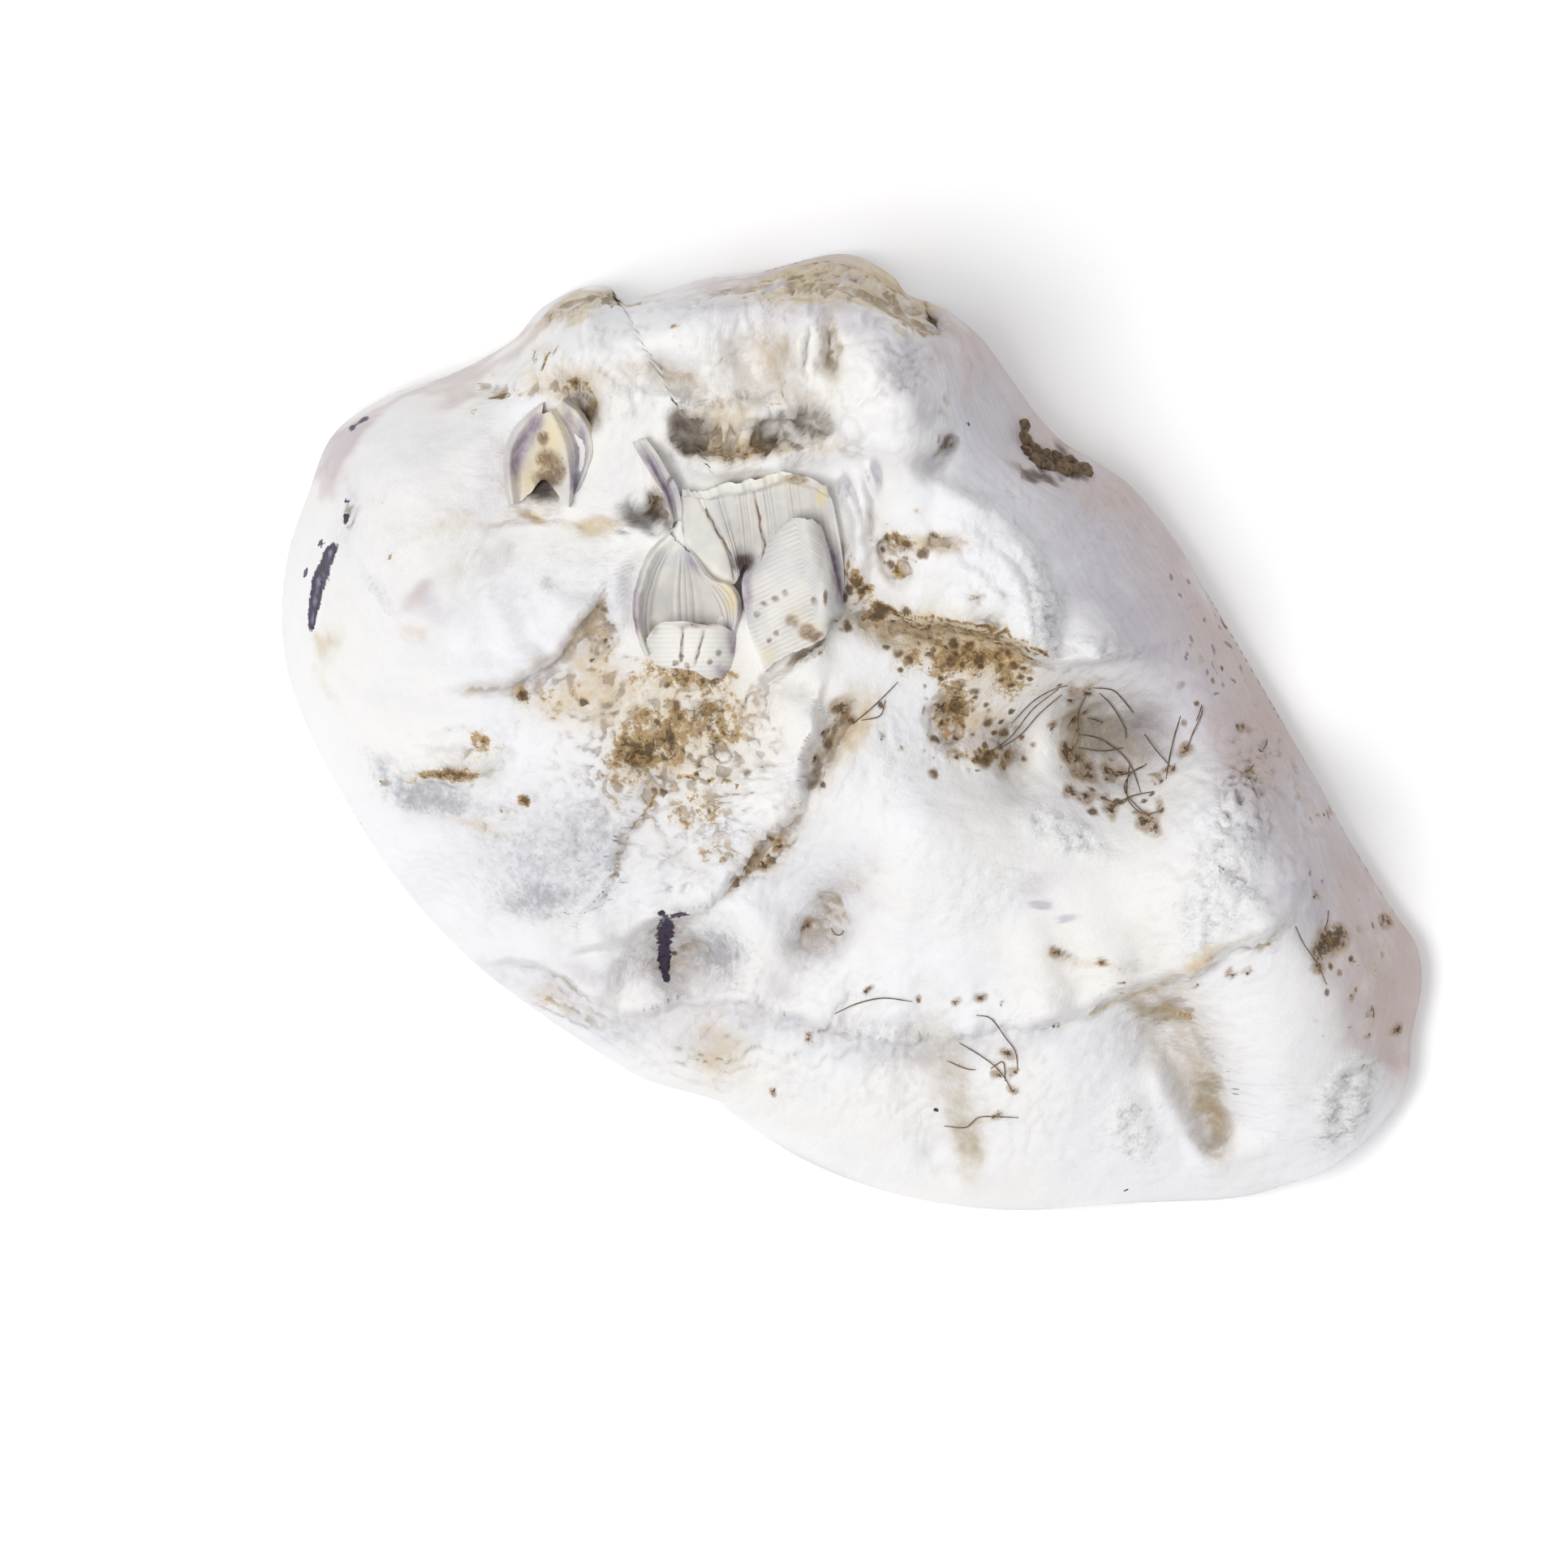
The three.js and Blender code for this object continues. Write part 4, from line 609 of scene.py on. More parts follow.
def through(a, b, c, d, t):
    """Points of the smooth curve from b to c, between their neighbours a and d."""
    curve = 2 * b + (c - a) * t + (2 * a - 5 * b + 4 * c - d) * t**2 + (3 * b - a - 3 * c + d) * t**3
    return curve / 2


def closed_curve(corners, steps):
    """A smooth closed curve through the corners, with so many points to each."""
    p = np.array(corners, float)
    neighbours = (np.roll(p, 1, 0), p, np.roll(p, -1, 0), np.roll(p, -2, 0))
    t = (np.arange(steps) / steps)[None, :, None]
    return through(*(x[:, None, :] for x in neighbours), t).reshape(-1, 2)


def open_curve(corners, step):
    """A smooth curve from the first corner to the last, with a point about every step."""
    p = np.array(corners, float)
    p = np.vstack([2 * p[0] - p[1], p, 2 * p[-1] - p[-2]])
    places = []
    for a, b, c, d in zip(p, p[1:], p[2:], p[3:]):
        count = max(1, math.ceil(np.linalg.norm(c - b) / step))
        places.append(through(a, b, c, d, (np.arange(count) / count)[:, None]))
    return np.vstack(places + [p[-2:-1]])


RIM_CURVE = closed_curve(RIM, 50)
RIM_DIRECTIONS = np.arctan2(RIM_CURVE[:, 1], RIM_CURVE[:, 0])
RIM_ORDER = np.argsort(RIM_DIRECTIONS)


def reach(direction):
    """How far the rim is from the sheet's origin in that direction, in radians."""
    radii = np.hypot(*RIM_CURVE.T)[RIM_ORDER]
    return np.interp(direction, RIM_DIRECTIONS[RIM_ORDER], radii, period=2 * math.pi)


RIM_TREE = KDTree(len(RIM_CURVE))
for index, (across, up) in enumerate(RIM_CURVE):
    RIM_TREE.insert((across, up, 0), index)
RIM_TREE.balance()


def to_rim(u, v):
    return np.array([RIM_TREE.find((a, b, 0))[2] for a, b in zip(u, v)])


class Line:
    """A smooth line on the sheet that points can be measured from."""

    STEP = 1.0

    def __init__(self, corners, taper=5.0):
        places = open_curve(corners, self.STEP)
        self.starts, self.spans = places[:-1], np.diff(places, axis=0)
        self.lengths = np.hypot(*self.spans.T)
        self.ways = np.cumsum(self.lengths) - self.lengths
        self.length = self.lengths.sum()
        self.taper = min(taper, 0.35 * self.length)

    def beside(self, u, v, within):
        """Offset to the left, distance, how fully the line counts and how far along it is.

        Points further away than within get that distance and a presence of zero.
        """
        ends = np.vstack([self.starts, self.starts + self.spans])
        low, high = ends.min(0) - within, ends.max(0) + within
        near = (u > low[0]) & (u < high[0]) & (v > low[1]) & (v < high[1])
        offset, distance = np.full(len(u), -float(within)), np.full(len(u), float(within))
        presence, way = np.zeros(len(u)), np.zeros(len(u))
        if not near.any():
            return offset, distance, presence, way
        across = u[near, None] - self.starts[:, 0]
        up = v[near, None] - self.starts[:, 1]
        along = np.clip((across * self.spans[:, 0] + up * self.spans[:, 1]) / self.lengths**2, 0, 1)
        square = (across - along * self.spans[:, 0]) ** 2 + (up - along * self.spans[:, 1]) ** 2
        rows = np.arange(len(square))
        nearest = square.argmin(1)
        away = np.sqrt(square[rows, nearest])
        span = self.spans[nearest]
        left = np.sign(span[:, 0] * up[rows, nearest] - span[:, 1] * across[rows, nearest])
        walked = self.ways[nearest] + along[rows, nearest] * self.lengths[nearest]
        offset[near], distance[near], way[near] = left * away, away, walked
        fading = smooth(away, within, 0.7 * within)
        ends = smooth(walked, 0, self.taper) * smooth(self.length - walked, 0, self.taper)
        presence[near] = fading * ends
        return offset, distance, presence, way


def blob(u, v, at, half, turn=0.0, power=2.6):
    """One in the middle of an oval on the sheet, falling to nothing round it."""
    a = math.radians(turn)
    across = ((u - at[0]) * math.cos(a) + (v - at[1]) * math.sin(a)) / half[0]
    up = ((v - at[1]) * math.cos(a) - (u - at[0]) * math.sin(a)) / half[1]
    return np.exp(-((across**2 + up**2) ** (power / 2)))


def mask(u, v, ovals, streaks):
    """How strongly a colour lies at each point, from its ovals and streaks."""
    clear = np.ones(len(u))
    for across, up, half_across, half_up, turn, strength in ovals:
        clear *= 1 - strength * blob(u, v, (across, up), (half_across, half_up), turn)
    for width, strength, corners in streaks:
        _, distance, presence, _ = Line(corners, 2).beside(u, v, 3 * width)
        clear *= 1 - strength * presence * np.exp(-((distance / width) ** 2))
    return 1 - clear


# Shape of the shell

def fit_face(landmarks, ease):
    """Thin-plate spline through the landmarks, as a function of across and up."""
    known = np.array(landmarks, float)
    count = len(known)

    def bend(r):
        return r**2 * np.log(np.maximum(r, 1e-9))

    apart = np.hypot(*(known[:, None, :2] - known[None, :, :2]).transpose(2, 0, 1))
    system = np.zeros((count + 3, count + 3))
    system[:count, :count] = bend(apart) + ease * np.eye(count)
    system[:count, count:] = np.column_stack([np.ones(count), known[:, :2]])
    system[count:, :count] = system[:count, count:].T
    weights = np.linalg.solve(system, np.concatenate([known[:, 2], np.zeros(3)]))

    def height(u, v):
        total = weights[count] + weights[count + 1] * u + weights[count + 2] * v
        for (a, b, _), weight in zip(known, weights):
            total = total + weight * bend(np.hypot(u - a, v - b))
        return total

    return height


face_form = fit_face(LANDMARKS, FACE_EASE)
inside_form = fit_face(LANDMARKS, CUP_EASE)


def rim_lift(u, v):
    total = np.zeros(len(u))
    for (a, b), lift, far in RIM_FOLDS:
        away = np.minimum(np.hypot(u - a, v - b) / far, 1)
        total += lift * (1 - away**2) ** 2
    return total


# How far lines and holes wander off their places, and over what length
WARP = 0.7
WARP_SIZE = 3.4
HOLE_WARP = 0.7
HOLE_WARP_SIZE = 1.7
LEDGE_RISE = 1.3
FADE_REACH = 3.5
# Unevenness of the whole face: height, size, octaves
UNEVENNESS = [(0.30, 9, 3), (0.10, 3.5, 3), (0.06, 1.1, 2)]
CHALK_RISE = 1.7
ROUGH_RISE = 1.5


def face(u, v):
    """Height of the outer face, with its ledges, furrows and hollows."""
    height = face_form(u, v)
    places = on_sheet(u, v)
    wu = u + WARP * rough(places, WARP_SIZE, 3, 3)
    wv = v + WARP * rough(places, WARP_SIZE, 7, 3)
    for rise, fade, edge, corners in LEDGES.values():
        far = FADE_REACH * fade
        offset, _, presence, way = Line(corners).beside(wu, wv, far)
        uneven = 1 + 0.35 * np.sin(way * 0.9 + corners[0][0])
        fading = (1 - np.clip(offset / far, 0, 1)) ** 3
        height += LEDGE_RISE * rise * uneven * presence * smooth(offset, -edge, edge) * fading
    for width, rise, corners in FURROWS.values():
        _, distance, presence, _ = Line(corners).beside(wu, wv, 3.2 * width)
        height += rise * presence * np.exp(-((distance / width) ** 2))
    for at, half, rise, turn in HOLLOWS.values():
        height += rise * blob(wu, wv, at, half, turn)
    hu = wu + HOLE_WARP * rough(places, HOLE_WARP_SIZE, 13, 3)
    hv = wv + HOLE_WARP * rough(places, HOLE_WARP_SIZE, 17, 3)
    for at, half, rise, turn in HOLES.values():
        height += rise * blob(hu, hv, at, half, turn, 5)
    offset, _, presence, _ = Line(CLIFF).beside(u, v, 8)
    behind = smooth(offset, -CLIFF_EDGE, CLIFF_EDGE) * np.minimum(1, 3 * presence)
    inwards = to_rim(u, v)
    height += (np.minimum(LEDGE_EDGE + LEDGE_SLOPE * inwards, height) - height) * behind
    directions, widths = zip(*SHOULDERS)
    share = np.minimum(1, inwards / np.interp(np.degrees(np.arctan2(v, u)), directions, widths))
    edge = RIM_HEIGHT + rim_lift(u, v)
    return edge + (height - edge) * np.sqrt(np.maximum(0, 1 - (1 - share) ** 2))


def steps(way, spacing, seed):
    """A staircase of growth lines: each rises sharply and falls away slowly, by uneven amounts."""
    phase = way / spacing
    line = np.floor(phase)
    cell = np.stack([line, np.full_like(line, seed), np.zeros_like(line)], axis=1).astype(np.int64)
    share = phase - line
    profile = smooth(share, 0, 0.22) * (1 - share) ** 1.3
    return profile * (0.65 + 0.35 * lattice(cell + 5000, seed))


def flakes(u, v, sheet):
    """Edges of thin layers that have flaked off, with a ragged outline."""
    total = np.zeros(len(u))
    for number, (at, half, turn, rise) in enumerate(FLAKED):
        amount = blob(u, v, at, half, turn, 5)
        layer = 4.2 * rough(sheet, 9, 101 + number, 5)
        share = layer - np.floor(layer)
        total += rise * amount * (smooth(share, 0, 0.10) - share)
    return total


def on_right_flank(u, v):
    return smooth(u + 0.3 * v, 4, 18)


def growth_swirl(sheet):
    """What makes growth lines waver, between -1 and 1."""
    return rough(sheet, 5, 31, 3)


def relief(u, v, height, steep):
    """Fine relief of the outer face: millimetres out of it, along its normal."""
    solid = np.stack([u, v, height], axis=1)
    sheet = on_sheet(u, v)
    swirl = growth_swirl(sheet)
    total = sum(rise * rough(solid, size, 10 + number, octaves)
                for number, (rise, size, octaves) in enumerate(UNEVENNESS))
    total += flakes(u, v, sheet)
    for number, (spacing, rise, left, right, corners) in enumerate(GROWTH_BANDS.values()):
        offset, _, presence, _ = Line(corners, 8).beside(u, v, 1.5 * max(left, right))
        within = smooth(offset, -right, -0.6 * right) * smooth(offset, left, 0.6 * left)
        patchy = smooth(rough(sheet, 3.5, 40 + number, 2), -0.5, 0.2)
        total += rise * within * presence * patchy * steps(offset + 0.5 * swirl, spacing, number)
    spacing, rise = FLANK_LINES
    inwards = to_rim(u, v)
    climb = np.hypot(inwards, height - RIM_HEIGHT) + 1.8 * swirl
    patchy = smooth(rough(solid, 7, 51, 2), -0.45, 0.35)
    where = on_right_flank(u, v) * smooth(steep, 0.25, 0.6)
    total += rise * patchy * where * steps(climb, spacing, 9)
    for at, half, turn, rise in CHALK:
        amount = blob(u + 0.8 * swirl, v, at, half, turn, 4)
        if amount.max() > 0.02:
            crumbs = 1 - 2 * np.abs(rough(solid * [1, 0.6, 1], 1.5, 61, 4))
            total += CHALK_RISE * rise * amount * (crumbs - 0.3)
    for at, half, turn, rise in ROUGH_GROUND:
        amount = blob(u + 0.8 * swirl, v, at, half, turn, 4)
        lumps = 0.5 - np.abs(rough(solid, 2.4, 71, 4)) * 1.6
        total += ROUGH_RISE * rise * amount * lumps
    return total * smooth(inwards, 0, 1.2)


def land_inner(direction):
    away = (np.degrees(direction) - HINGE_DIRECTION) / HINGE_SPREAD
    return LAND_INNER - HINGE_PLATE * np.exp(-(away**2))


def cup_height(share, u, v):
    """Height of the inside, a share of the way out from the middle to the land."""
    full = (1 - np.minimum(share, 1) ** CUP_FULLNESS) ** CUP_ROUNDNESS
    return np.maximum(0, inside_form(u, v) - WALL) * full + rim_lift(u, v)


def to_row(u, v, height):
    """Places on the sheet as points of the object's own frame, in metres."""
    x = u * math.cos(TURN) - v * math.sin(TURN) - FOOTPRINT_MIDDLE[0]
    y = u * math.sin(TURN) + v * math.cos(TURN) - FOOTPRINT_MIDDLE[1]
    return np.stack([x, y, height], axis=1) * MM


def over_sheet(across, up, height):
    """One place over the sheet, in metres."""
    return to_row(np.array([across]), np.array([up]), np.array([height]))[0]


# Making meshes

def deselect():
    if bpy.context.object and bpy.context.object.mode != "OBJECT":
        bpy.ops.object.mode_set(mode="OBJECT")
    bpy.ops.object.select_all(action="DESELECT")


def take(piece):
    """Selects the piece alone."""
    deselect()
    piece.select_set(True)
    bpy.context.view_layer.objects.active = piece


def modify(piece, kind, **settings):
    take(piece)
    bpy.ops.object.modifier_add(type=kind)
    modifier = piece.modifiers[-1]
    for name, value in settings.items():
        setattr(modifier, name, value)
    bpy.ops.object.modifier_apply(modifier=modifier.name)


def join(name, pieces):
    take(pieces[0])
    for piece in pieces[1:]:
        piece.select_set(True)
    bpy.ops.object.join()
    pieces[0].name = pieces[0].data.name = name
    return pieces[0]


def grid(name, columns, rows):
    """A flat sheet from -1 to 1 both ways, to be shaped."""
    deselect()
    bpy.ops.mesh.primitive_grid_add(x_subdivisions=columns, y_subdivisions=rows, size=2)
    piece = bpy.context.object
    piece.name = piece.data.name = name
    return piece


def places_of(piece, kind="co"):
    flat = np.empty(len(piece.data.vertices) * 3)
    piece.data.vertices.foreach_get(kind, flat)
    return flat.reshape(-1, 3)


def normals_of(piece):
    return places_of(piece, "normal")


def place(piece, points):
    piece.data.vertices.foreach_set("co", np.asarray(points, float).ravel())
    piece.data.update()


def lay_down(piece):
    """Moves a piece modelled in millimetres on the sheet to its place in the object's own frame."""
    points = places_of(piece)
    place(piece, to_row(*points.T))


def set_smooth(piece, angle=None):
    take(piece)
    if angle is None:
        bpy.ops.object.shade_smooth()
    else:
        bpy.ops.object.shade_smooth_by_angle(angle=angle)


def paint(piece, name, values):
    """Stores a number for each point of the piece, for its material."""
    layer = piece.data.attributes.get(name) or piece.data.attributes.new(name, "FLOAT", "POINT")
    layer.data.foreach_set("value", np.asarray(values, float))


def hollowness(piece, rounds):
    """How far each point lies under the smoothed surface round it."""
    points, normals = places_of(piece), normals_of(piece)
    pairs = np.empty(len(piece.data.edges) * 2, np.int32)
    piece.data.edges.foreach_get("vertices", pairs)
    first, second = pairs.reshape(-1, 2).T
    number = len(points)
    neighbours = np.bincount(first, minlength=number) + np.bincount(second, minlength=number)
    soft = points.copy()
    for _ in range(rounds):
        for axis in range(3):
            values = soft[:, axis]
            from_first = np.bincount(second, values[first], number)
            soft[:, axis] = (np.bincount(first, values[second], number) + from_first) / neighbours
    return ((soft - points) * normals).sum(1)


def disc(x, y):
    """Share of the way out and direction of each point of a square sheet that is made round."""
    out = np.maximum(np.abs(x), np.abs(y))
    wide = np.abs(x) >= np.abs(y)
    with np.errstate(divide="ignore", invalid="ignore"):
        turn = np.where(wide, y / x, 2 - x / y) * math.pi / 4
    back = np.where(wide, x < 0, y < 0)
    turn = np.nan_to_num(turn) + np.where(back, math.pi, 0)
    return out, np.arctan2(np.sin(turn), np.cos(turn))


def select_open_edge(piece):
    bpy.context.view_layer.objects.active = piece
    bpy.ops.object.mode_set(mode="EDIT")
    bpy.ops.mesh.select_mode(type="EDGE")
    bpy.ops.mesh.select_all(action="DESELECT")
    bpy.ops.mesh.select_non_manifold()
    bpy.ops.object.mode_set(mode="OBJECT")


def extrude_rim(piece, share, height):
    """Extrudes the selected rim once, to a share of the way out and a height over its folds."""
    before = len(piece.data.vertices)
    take(piece)
    bpy.ops.object.mode_set(mode="EDIT")
    bpy.ops.mesh.extrude_region_move(TRANSFORM_OT_translate={"value": (0, 0, 0)})
    bpy.ops.object.mode_set(mode="OBJECT")
    points = places_of(piece)
    direction = np.arctan2(points[before:, 1], points[before:, 0])
    far = reach(direction) * share
    u, v = far * np.cos(direction), far * np.sin(direction)
    points[before:] = np.stack([u, v, height + rim_lift(u, v)], axis=1)
    place(piece, points)


# How much closer together the points of the outer face lie towards the rim
RIM_PACKING = 0.85
RIM_PACKING_POWER = 6


def shell_top(count):
    """The outer face as an open sheet, with its fine relief."""
    piece = grid("oyster_shell", count, count)
    square = places_of(piece)
    out, direction = disc(square[:, 0], square[:, 1])
    out = out + RIM_PACKING * (1 - out) * out**RIM_PACKING_POWER
    radius = out * reach(direction)
    u, v = radius * np.cos(direction), radius * np.sin(direction)
    height = face(u, v)
    place(piece, np.stack([u, v, height], axis=1))
    normals = normals_of(piece)
    moved = relief(u, v, height, 1 - normals[:, 2])
    place(piece, places_of(piece) + normals * moved[:, None])
    return piece


def shell_inside(count):
    """The hollow of the shell as an open sheet that faces down."""
    inside = grid("inside", count, count)
    square = places_of(inside)
    out, direction = disc(square[:, 0], square[:, 1])
    radius = out * land_inner(direction) * reach(direction)
    u, v = radius * np.cos(direction), radius * np.sin(direction)
    place(inside, np.stack([u, v, cup_height(out, u, v)], axis=1))
    paint(inside, "inside", np.ones(len(u)))
    take(inside)
    bpy.ops.object.mode_set(mode="EDIT")
    bpy.ops.mesh.select_all(action="SELECT")
    bpy.ops.mesh.flip_normals()
    bpy.ops.object.mode_set(mode="OBJECT")
    return inside


def shell_body(top_count, inside_count):
    """The whole closed shell on the sheet, in millimetres."""
    piece = shell_top(top_count)
    paint(piece, "inside", np.zeros(len(piece.data.vertices)))
    select_open_edge(piece)
    extrude_rim(piece, 1, (RIM_HEIGHT + RIM_BEVEL) / 2)
    extrude_rim(piece, 1, RIM_BEVEL)
    extrude_rim(piece, LAND_OUTER, 0)
    inside = shell_inside(inside_count)
    select_open_edge(inside)
    take(piece)
    inside.select_set(True)
    bpy.ops.object.join()
    bpy.ops.object.mode_set(mode="EDIT")
    bpy.ops.mesh.bridge_edge_loops()
    bpy.ops.mesh.select_all(action="SELECT")
    bpy.ops.mesh.normals_make_consistent(inside=False)
    bpy.ops.object.mode_set(mode="OBJECT")
    return piece


# How far the edges of the colours wander, and how much more they do on steep ground
MASK_WARP = 0.7
MASK_WARP_SIZE = 2.2
STEEP_WARP = 3.2
STEEP_WARP_SIZE = 5.0
# Stain round a tuft, and width of a fine mark
STAIN_SPREAD = 1.6
STAIN_STRENGTH = 0.9
MARK_HALF_WIDTH = 0.16
MUSCLE_SCAR = (14, -4)
MUSCLE_SCAR_SIZE = (8, 6)
MUSCLE_SCAR_TURN = 20


def paint_shell(piece):
    """Stores where each colour lies, and a measure that runs across the growth lines."""
    u, v, height = places_of(piece).T
    sheet = on_sheet(u, v)
    solid = np.stack([u, v, height], axis=1)
    slope = 1 - normals_of(piece)[:, 2]
    steep = STEEP_WARP * smooth(slope, 0.3, 0.75)

    def wander(start, seed):
        flat = start + MASK_WARP * rough(sheet, MASK_WARP_SIZE, seed, 3)
        return flat + steep * rough(solid, STEEP_WARP_SIZE, seed + 1, 3)

    wu, wv = wander(u, 81), wander(v, 85)
    inside = np.empty(len(u))
    piece.data.attributes["inside"].data.foreach_get("value", inside)
    outside = 1 - inside
    for name, (ovals, streaks) in SHELL_MASKS.items():
        places = (u, v) if name == "ink" else (wu, wv)
        paint(piece, name, outside * mask(*places, ovals, streaks))
    stains = [(a, b, *[STAIN_SPREAD * size] * 2, 0, STAIN_STRENGTH) for a, b, size in TUFTS]
    marks = [(a, b, 0.5 * length, MARK_HALF_WIDTH, turn, 0.9) for a, b, length, turn in FLANK_MARKS]
    paint(piece, "stain", outside * mask(wu, wv, stains, []))
    paint(piece, "mark", outside * mask(u, v, marks, []))
    chalk = [(*at, *half, turn, min(1, 2.2 * rise)) for at, half, turn, rise in CHALK]
    paint(piece, "chalk", outside * mask(wu, wv, chalk, []))
    climb = np.hypot(to_rim(u, v), height - RIM_HEIGHT)
    paint(piece, "growth", climb + 0.8 * growth_swirl(sheet))
    paint(piece, "flank", outside * on_right_flank(u, v) * smooth(slope, 0.18, 0.6))
    paint(piece, "hollow", outside * hollowness(piece, 10))
    paint(piece, "scar", inside * blob(u, v, MUSCLE_SCAR, MUSCLE_SCAR_SIZE, MUSCLE_SCAR_TURN, 4))


# Barnacles: sheets through rails of points, from left to right, each rail from top to bottom,
# as across, up, height
WALL_RAILS = [
    [(-15, 22.1, 28.6), (-15.3, 20.5, 27.6), (-15.2, 18.5, 26.6), (-14.6, 16, 25.2), (-13, 13.4, 24)],
    [(-13.9, 22, 28.8), (-13.2, 20.2, 27), (-12.4, 18, 25.6), (-11.8, 15.8, 24.8), (-11.3, 13.2, 24.3)],
    [(-12.9, 22.1, 29), (-12.2, 20, 27), (-11.3, 17.5, 25.3), (-10.6, 15.3, 24.3), (-10.3, 13.2, 24.2)],
    [(-10.6, 22.6, 29.3), (-10.2, 20.3, 27.2), (-9.9, 18, 25.2), (-9.7, 16.2, 23.9), (-9.6, 14.9, 23.5)],
    [(-8.8, 23, 29.6), (-8.4, 20.6, 27.6), (-8.1, 18.4, 25.8), (-8, 16.6, 24.6), (-8.4, 14.8, 23.9)],
    [(-6.8, 23.5, 29.9), (-6.5, 21.3, 28.2), (-6.2, 19.5, 26.8), (-6, 18, 25.8), (-5.8, 16.8, 25.2)],
    [(-4.6, 23.2, 30.1), (-4.4, 21.3, 28.5), (-4.2, 19.8, 27.4), (-4, 18.6, 26.6), (-3.9, 17.5, 26)],
    [(-2.3, 22.2, 30), (-1.7, 20, 29), (-1.2, 17.5, 28), (-0.8, 14.5, 27), (-0.9, 11, 26.4)],
]
WING_RAILS = [
    [(-19.6, 25.8, 27.6), (-18.9, 24.6, 28.2), (-17.8, 22.8, 28.2), (-16.7, 21.2, 27.8),
     (-16.1, 19.4, 27.2), (-15.9, 18.2, 26.6)],
    [(-18.9, 26.1, 27.9), (-17.8, 24.3, 28.1), (-17.1, 22.8, 28), (-16.3, 21.3, 27.4),
     (-15.8, 19.4, 26.6), (-15.5, 18, 26)],
    [(-18.4, 26.2, 28.2), (-17.3, 24.8, 28.9), (-16.4, 23.2, 29), (-15.6, 21.9, 28.8),
     (-15.2, 20.3, 27.8), (-15.2, 18.2, 26.6)],
]
PLATE_RAILS = [
    [(-6.6, 18, 28.6), (-8.2, 15.9, 27.6), (-9.7, 13.9, 26.9), (-9.6, 11.2, 26.8), (-8.9, 8.3, 26.8),
     (-7.6, 5.2, 26.4)],
    [(-5.9, 18.8, 29.6), (-6.8, 16.2, 29.2), (-7.6, 13.6, 28.6), (-7.5, 11, 28.2), (-7.2, 8.5, 27.9),
     (-6.6, 6.2, 27.4)],
    [(-5, 19.2, 30.2), (-5.4, 16.4, 30), (-5.4, 13.6, 29.8), (-5.2, 11, 29.4), (-4.9, 9, 29),
     (-4.9, 7.1, 28.6)],
    [(-4.3, 19.2, 30.6), (-3.7, 16.4, 30.9), (-3.2, 14.2, 30.9), (-2.9, 12.2, 30.6), (-2.7, 10.4, 30.2),
     (-2.6, 8.4, 29.4)],
    [(-3.4, 19, 30.2), (-2.6, 16.2, 30), (-2.2, 14.2, 29.8), (-1.8, 12.2, 29.5), (-1.5, 10.8, 29.2),
     (-1.9, 9.9, 28.9)],
    [(-2.8, 18.3, 29), (-2, 15.8, 28.3), (-1.5, 13.8, 28), (-1.1, 12, 27.8), (-0.9, 10.6, 27.6),
     (-1.3, 10, 27.6)],
]
CUP_RAILS = [
    [(-16.2, 18, 25.6), (-18.2, 16, 25.2), (-19.3, 13, 24.8), (-19.5, 10.6, 24.4), (-19.1, 8.4, 24),
     (-18.4, 6.8, 23.6)],
    [(-15.9, 17.7, 26.2), (-17.7, 15.8, 26.2), (-18.8, 12.9, 26), (-19.1, 10.6, 25.7),
     (-18.7, 8.4, 25.3),
     (-18.1, 6.9, 24.8)],
    [(-15.6, 17.2, 25.9), (-17, 15, 25), (-17.8, 12.6, 24.3), (-18.1, 10.6, 23.8), (-18, 8.6, 23.4),
     (-17.6, 7.2, 23.2)],
    [(-15.3, 16.9, 25.7), (-15.6, 14.8, 24.8), (-15.9, 12.6, 23.6), (-15.9, 10.8, 22.9),
     (-15.9, 9, 22.6),
     (-15.9, 7.4, 22.6)],
    [(-15, 16.6, 25.6), (-14.3, 14.8, 24.9), (-13.8, 12.8, 23.8), (-13.6, 11, 23), (-13.6, 9.2, 22.6),
     (-13.6, 7.6, 22.6)],
    [(-14.8, 16.4, 25.7), (-13.4, 14.2, 25.1), (-12.2, 12.4, 24.4), (-11.5, 10.9, 24),
     (-11.4, 9.4, 23.8),
     (-11.6, 8, 23.6)],
    [(-14.6, 16.3, 25.8), (-12.9, 13.9, 25.7), (-11.3, 13.1, 25.8), (-10.5, 11.9, 25.7),
     (-10.4, 10.3, 25.4), (-10.8, 8.6, 25)],
    [(-14.4, 16.4, 25.4), (-12.5, 14, 25.2), (-10.6, 13.1, 25.2), (-9.9, 11.8, 25), (-10, 10.2, 24.8),
     (-10.5, 8.4, 24.4)],
]
SMALL_PLATE_RAILS = [
    [(-18.3, 8.5, 24.6), (-18.3, 7.7, 24.3), (-18, 7, 24), (-17.6, 6.2, 23.6)],
    [(-17.2, 9.8, 25.6), (-17.1, 8.6, 25.4), (-17, 7.3, 25), (-16.8, 5.9, 24.3)],
    [(-15.1, 10, 26.2), (-15.1, 8.6, 26.1), (-15.2, 7.2, 25.7), (-15.3, 5.7, 24.8)],
    [(-13.1, 9.7, 26.3), (-13.4, 8.3, 26.2), (-13.8, 7, 25.9), (-14, 5.5, 25)],
    [(-12, 9.8, 26.2), (-12.1, 8.2, 26.1), (-12.4, 6.6, 25.6), (-12.8, 4.8, 24.6)],
    [(-10.7, 9.2, 25.4), (-10.9, 7.8, 25.2), (-11.3, 6.4, 24.8), (-12, 4.9, 24)],
    [(-10.2, 9.6, 24.4), (-10.4, 8, 24.2), (-10.8, 6.3, 23.9), (-11.6, 4.9, 23.4)],
]
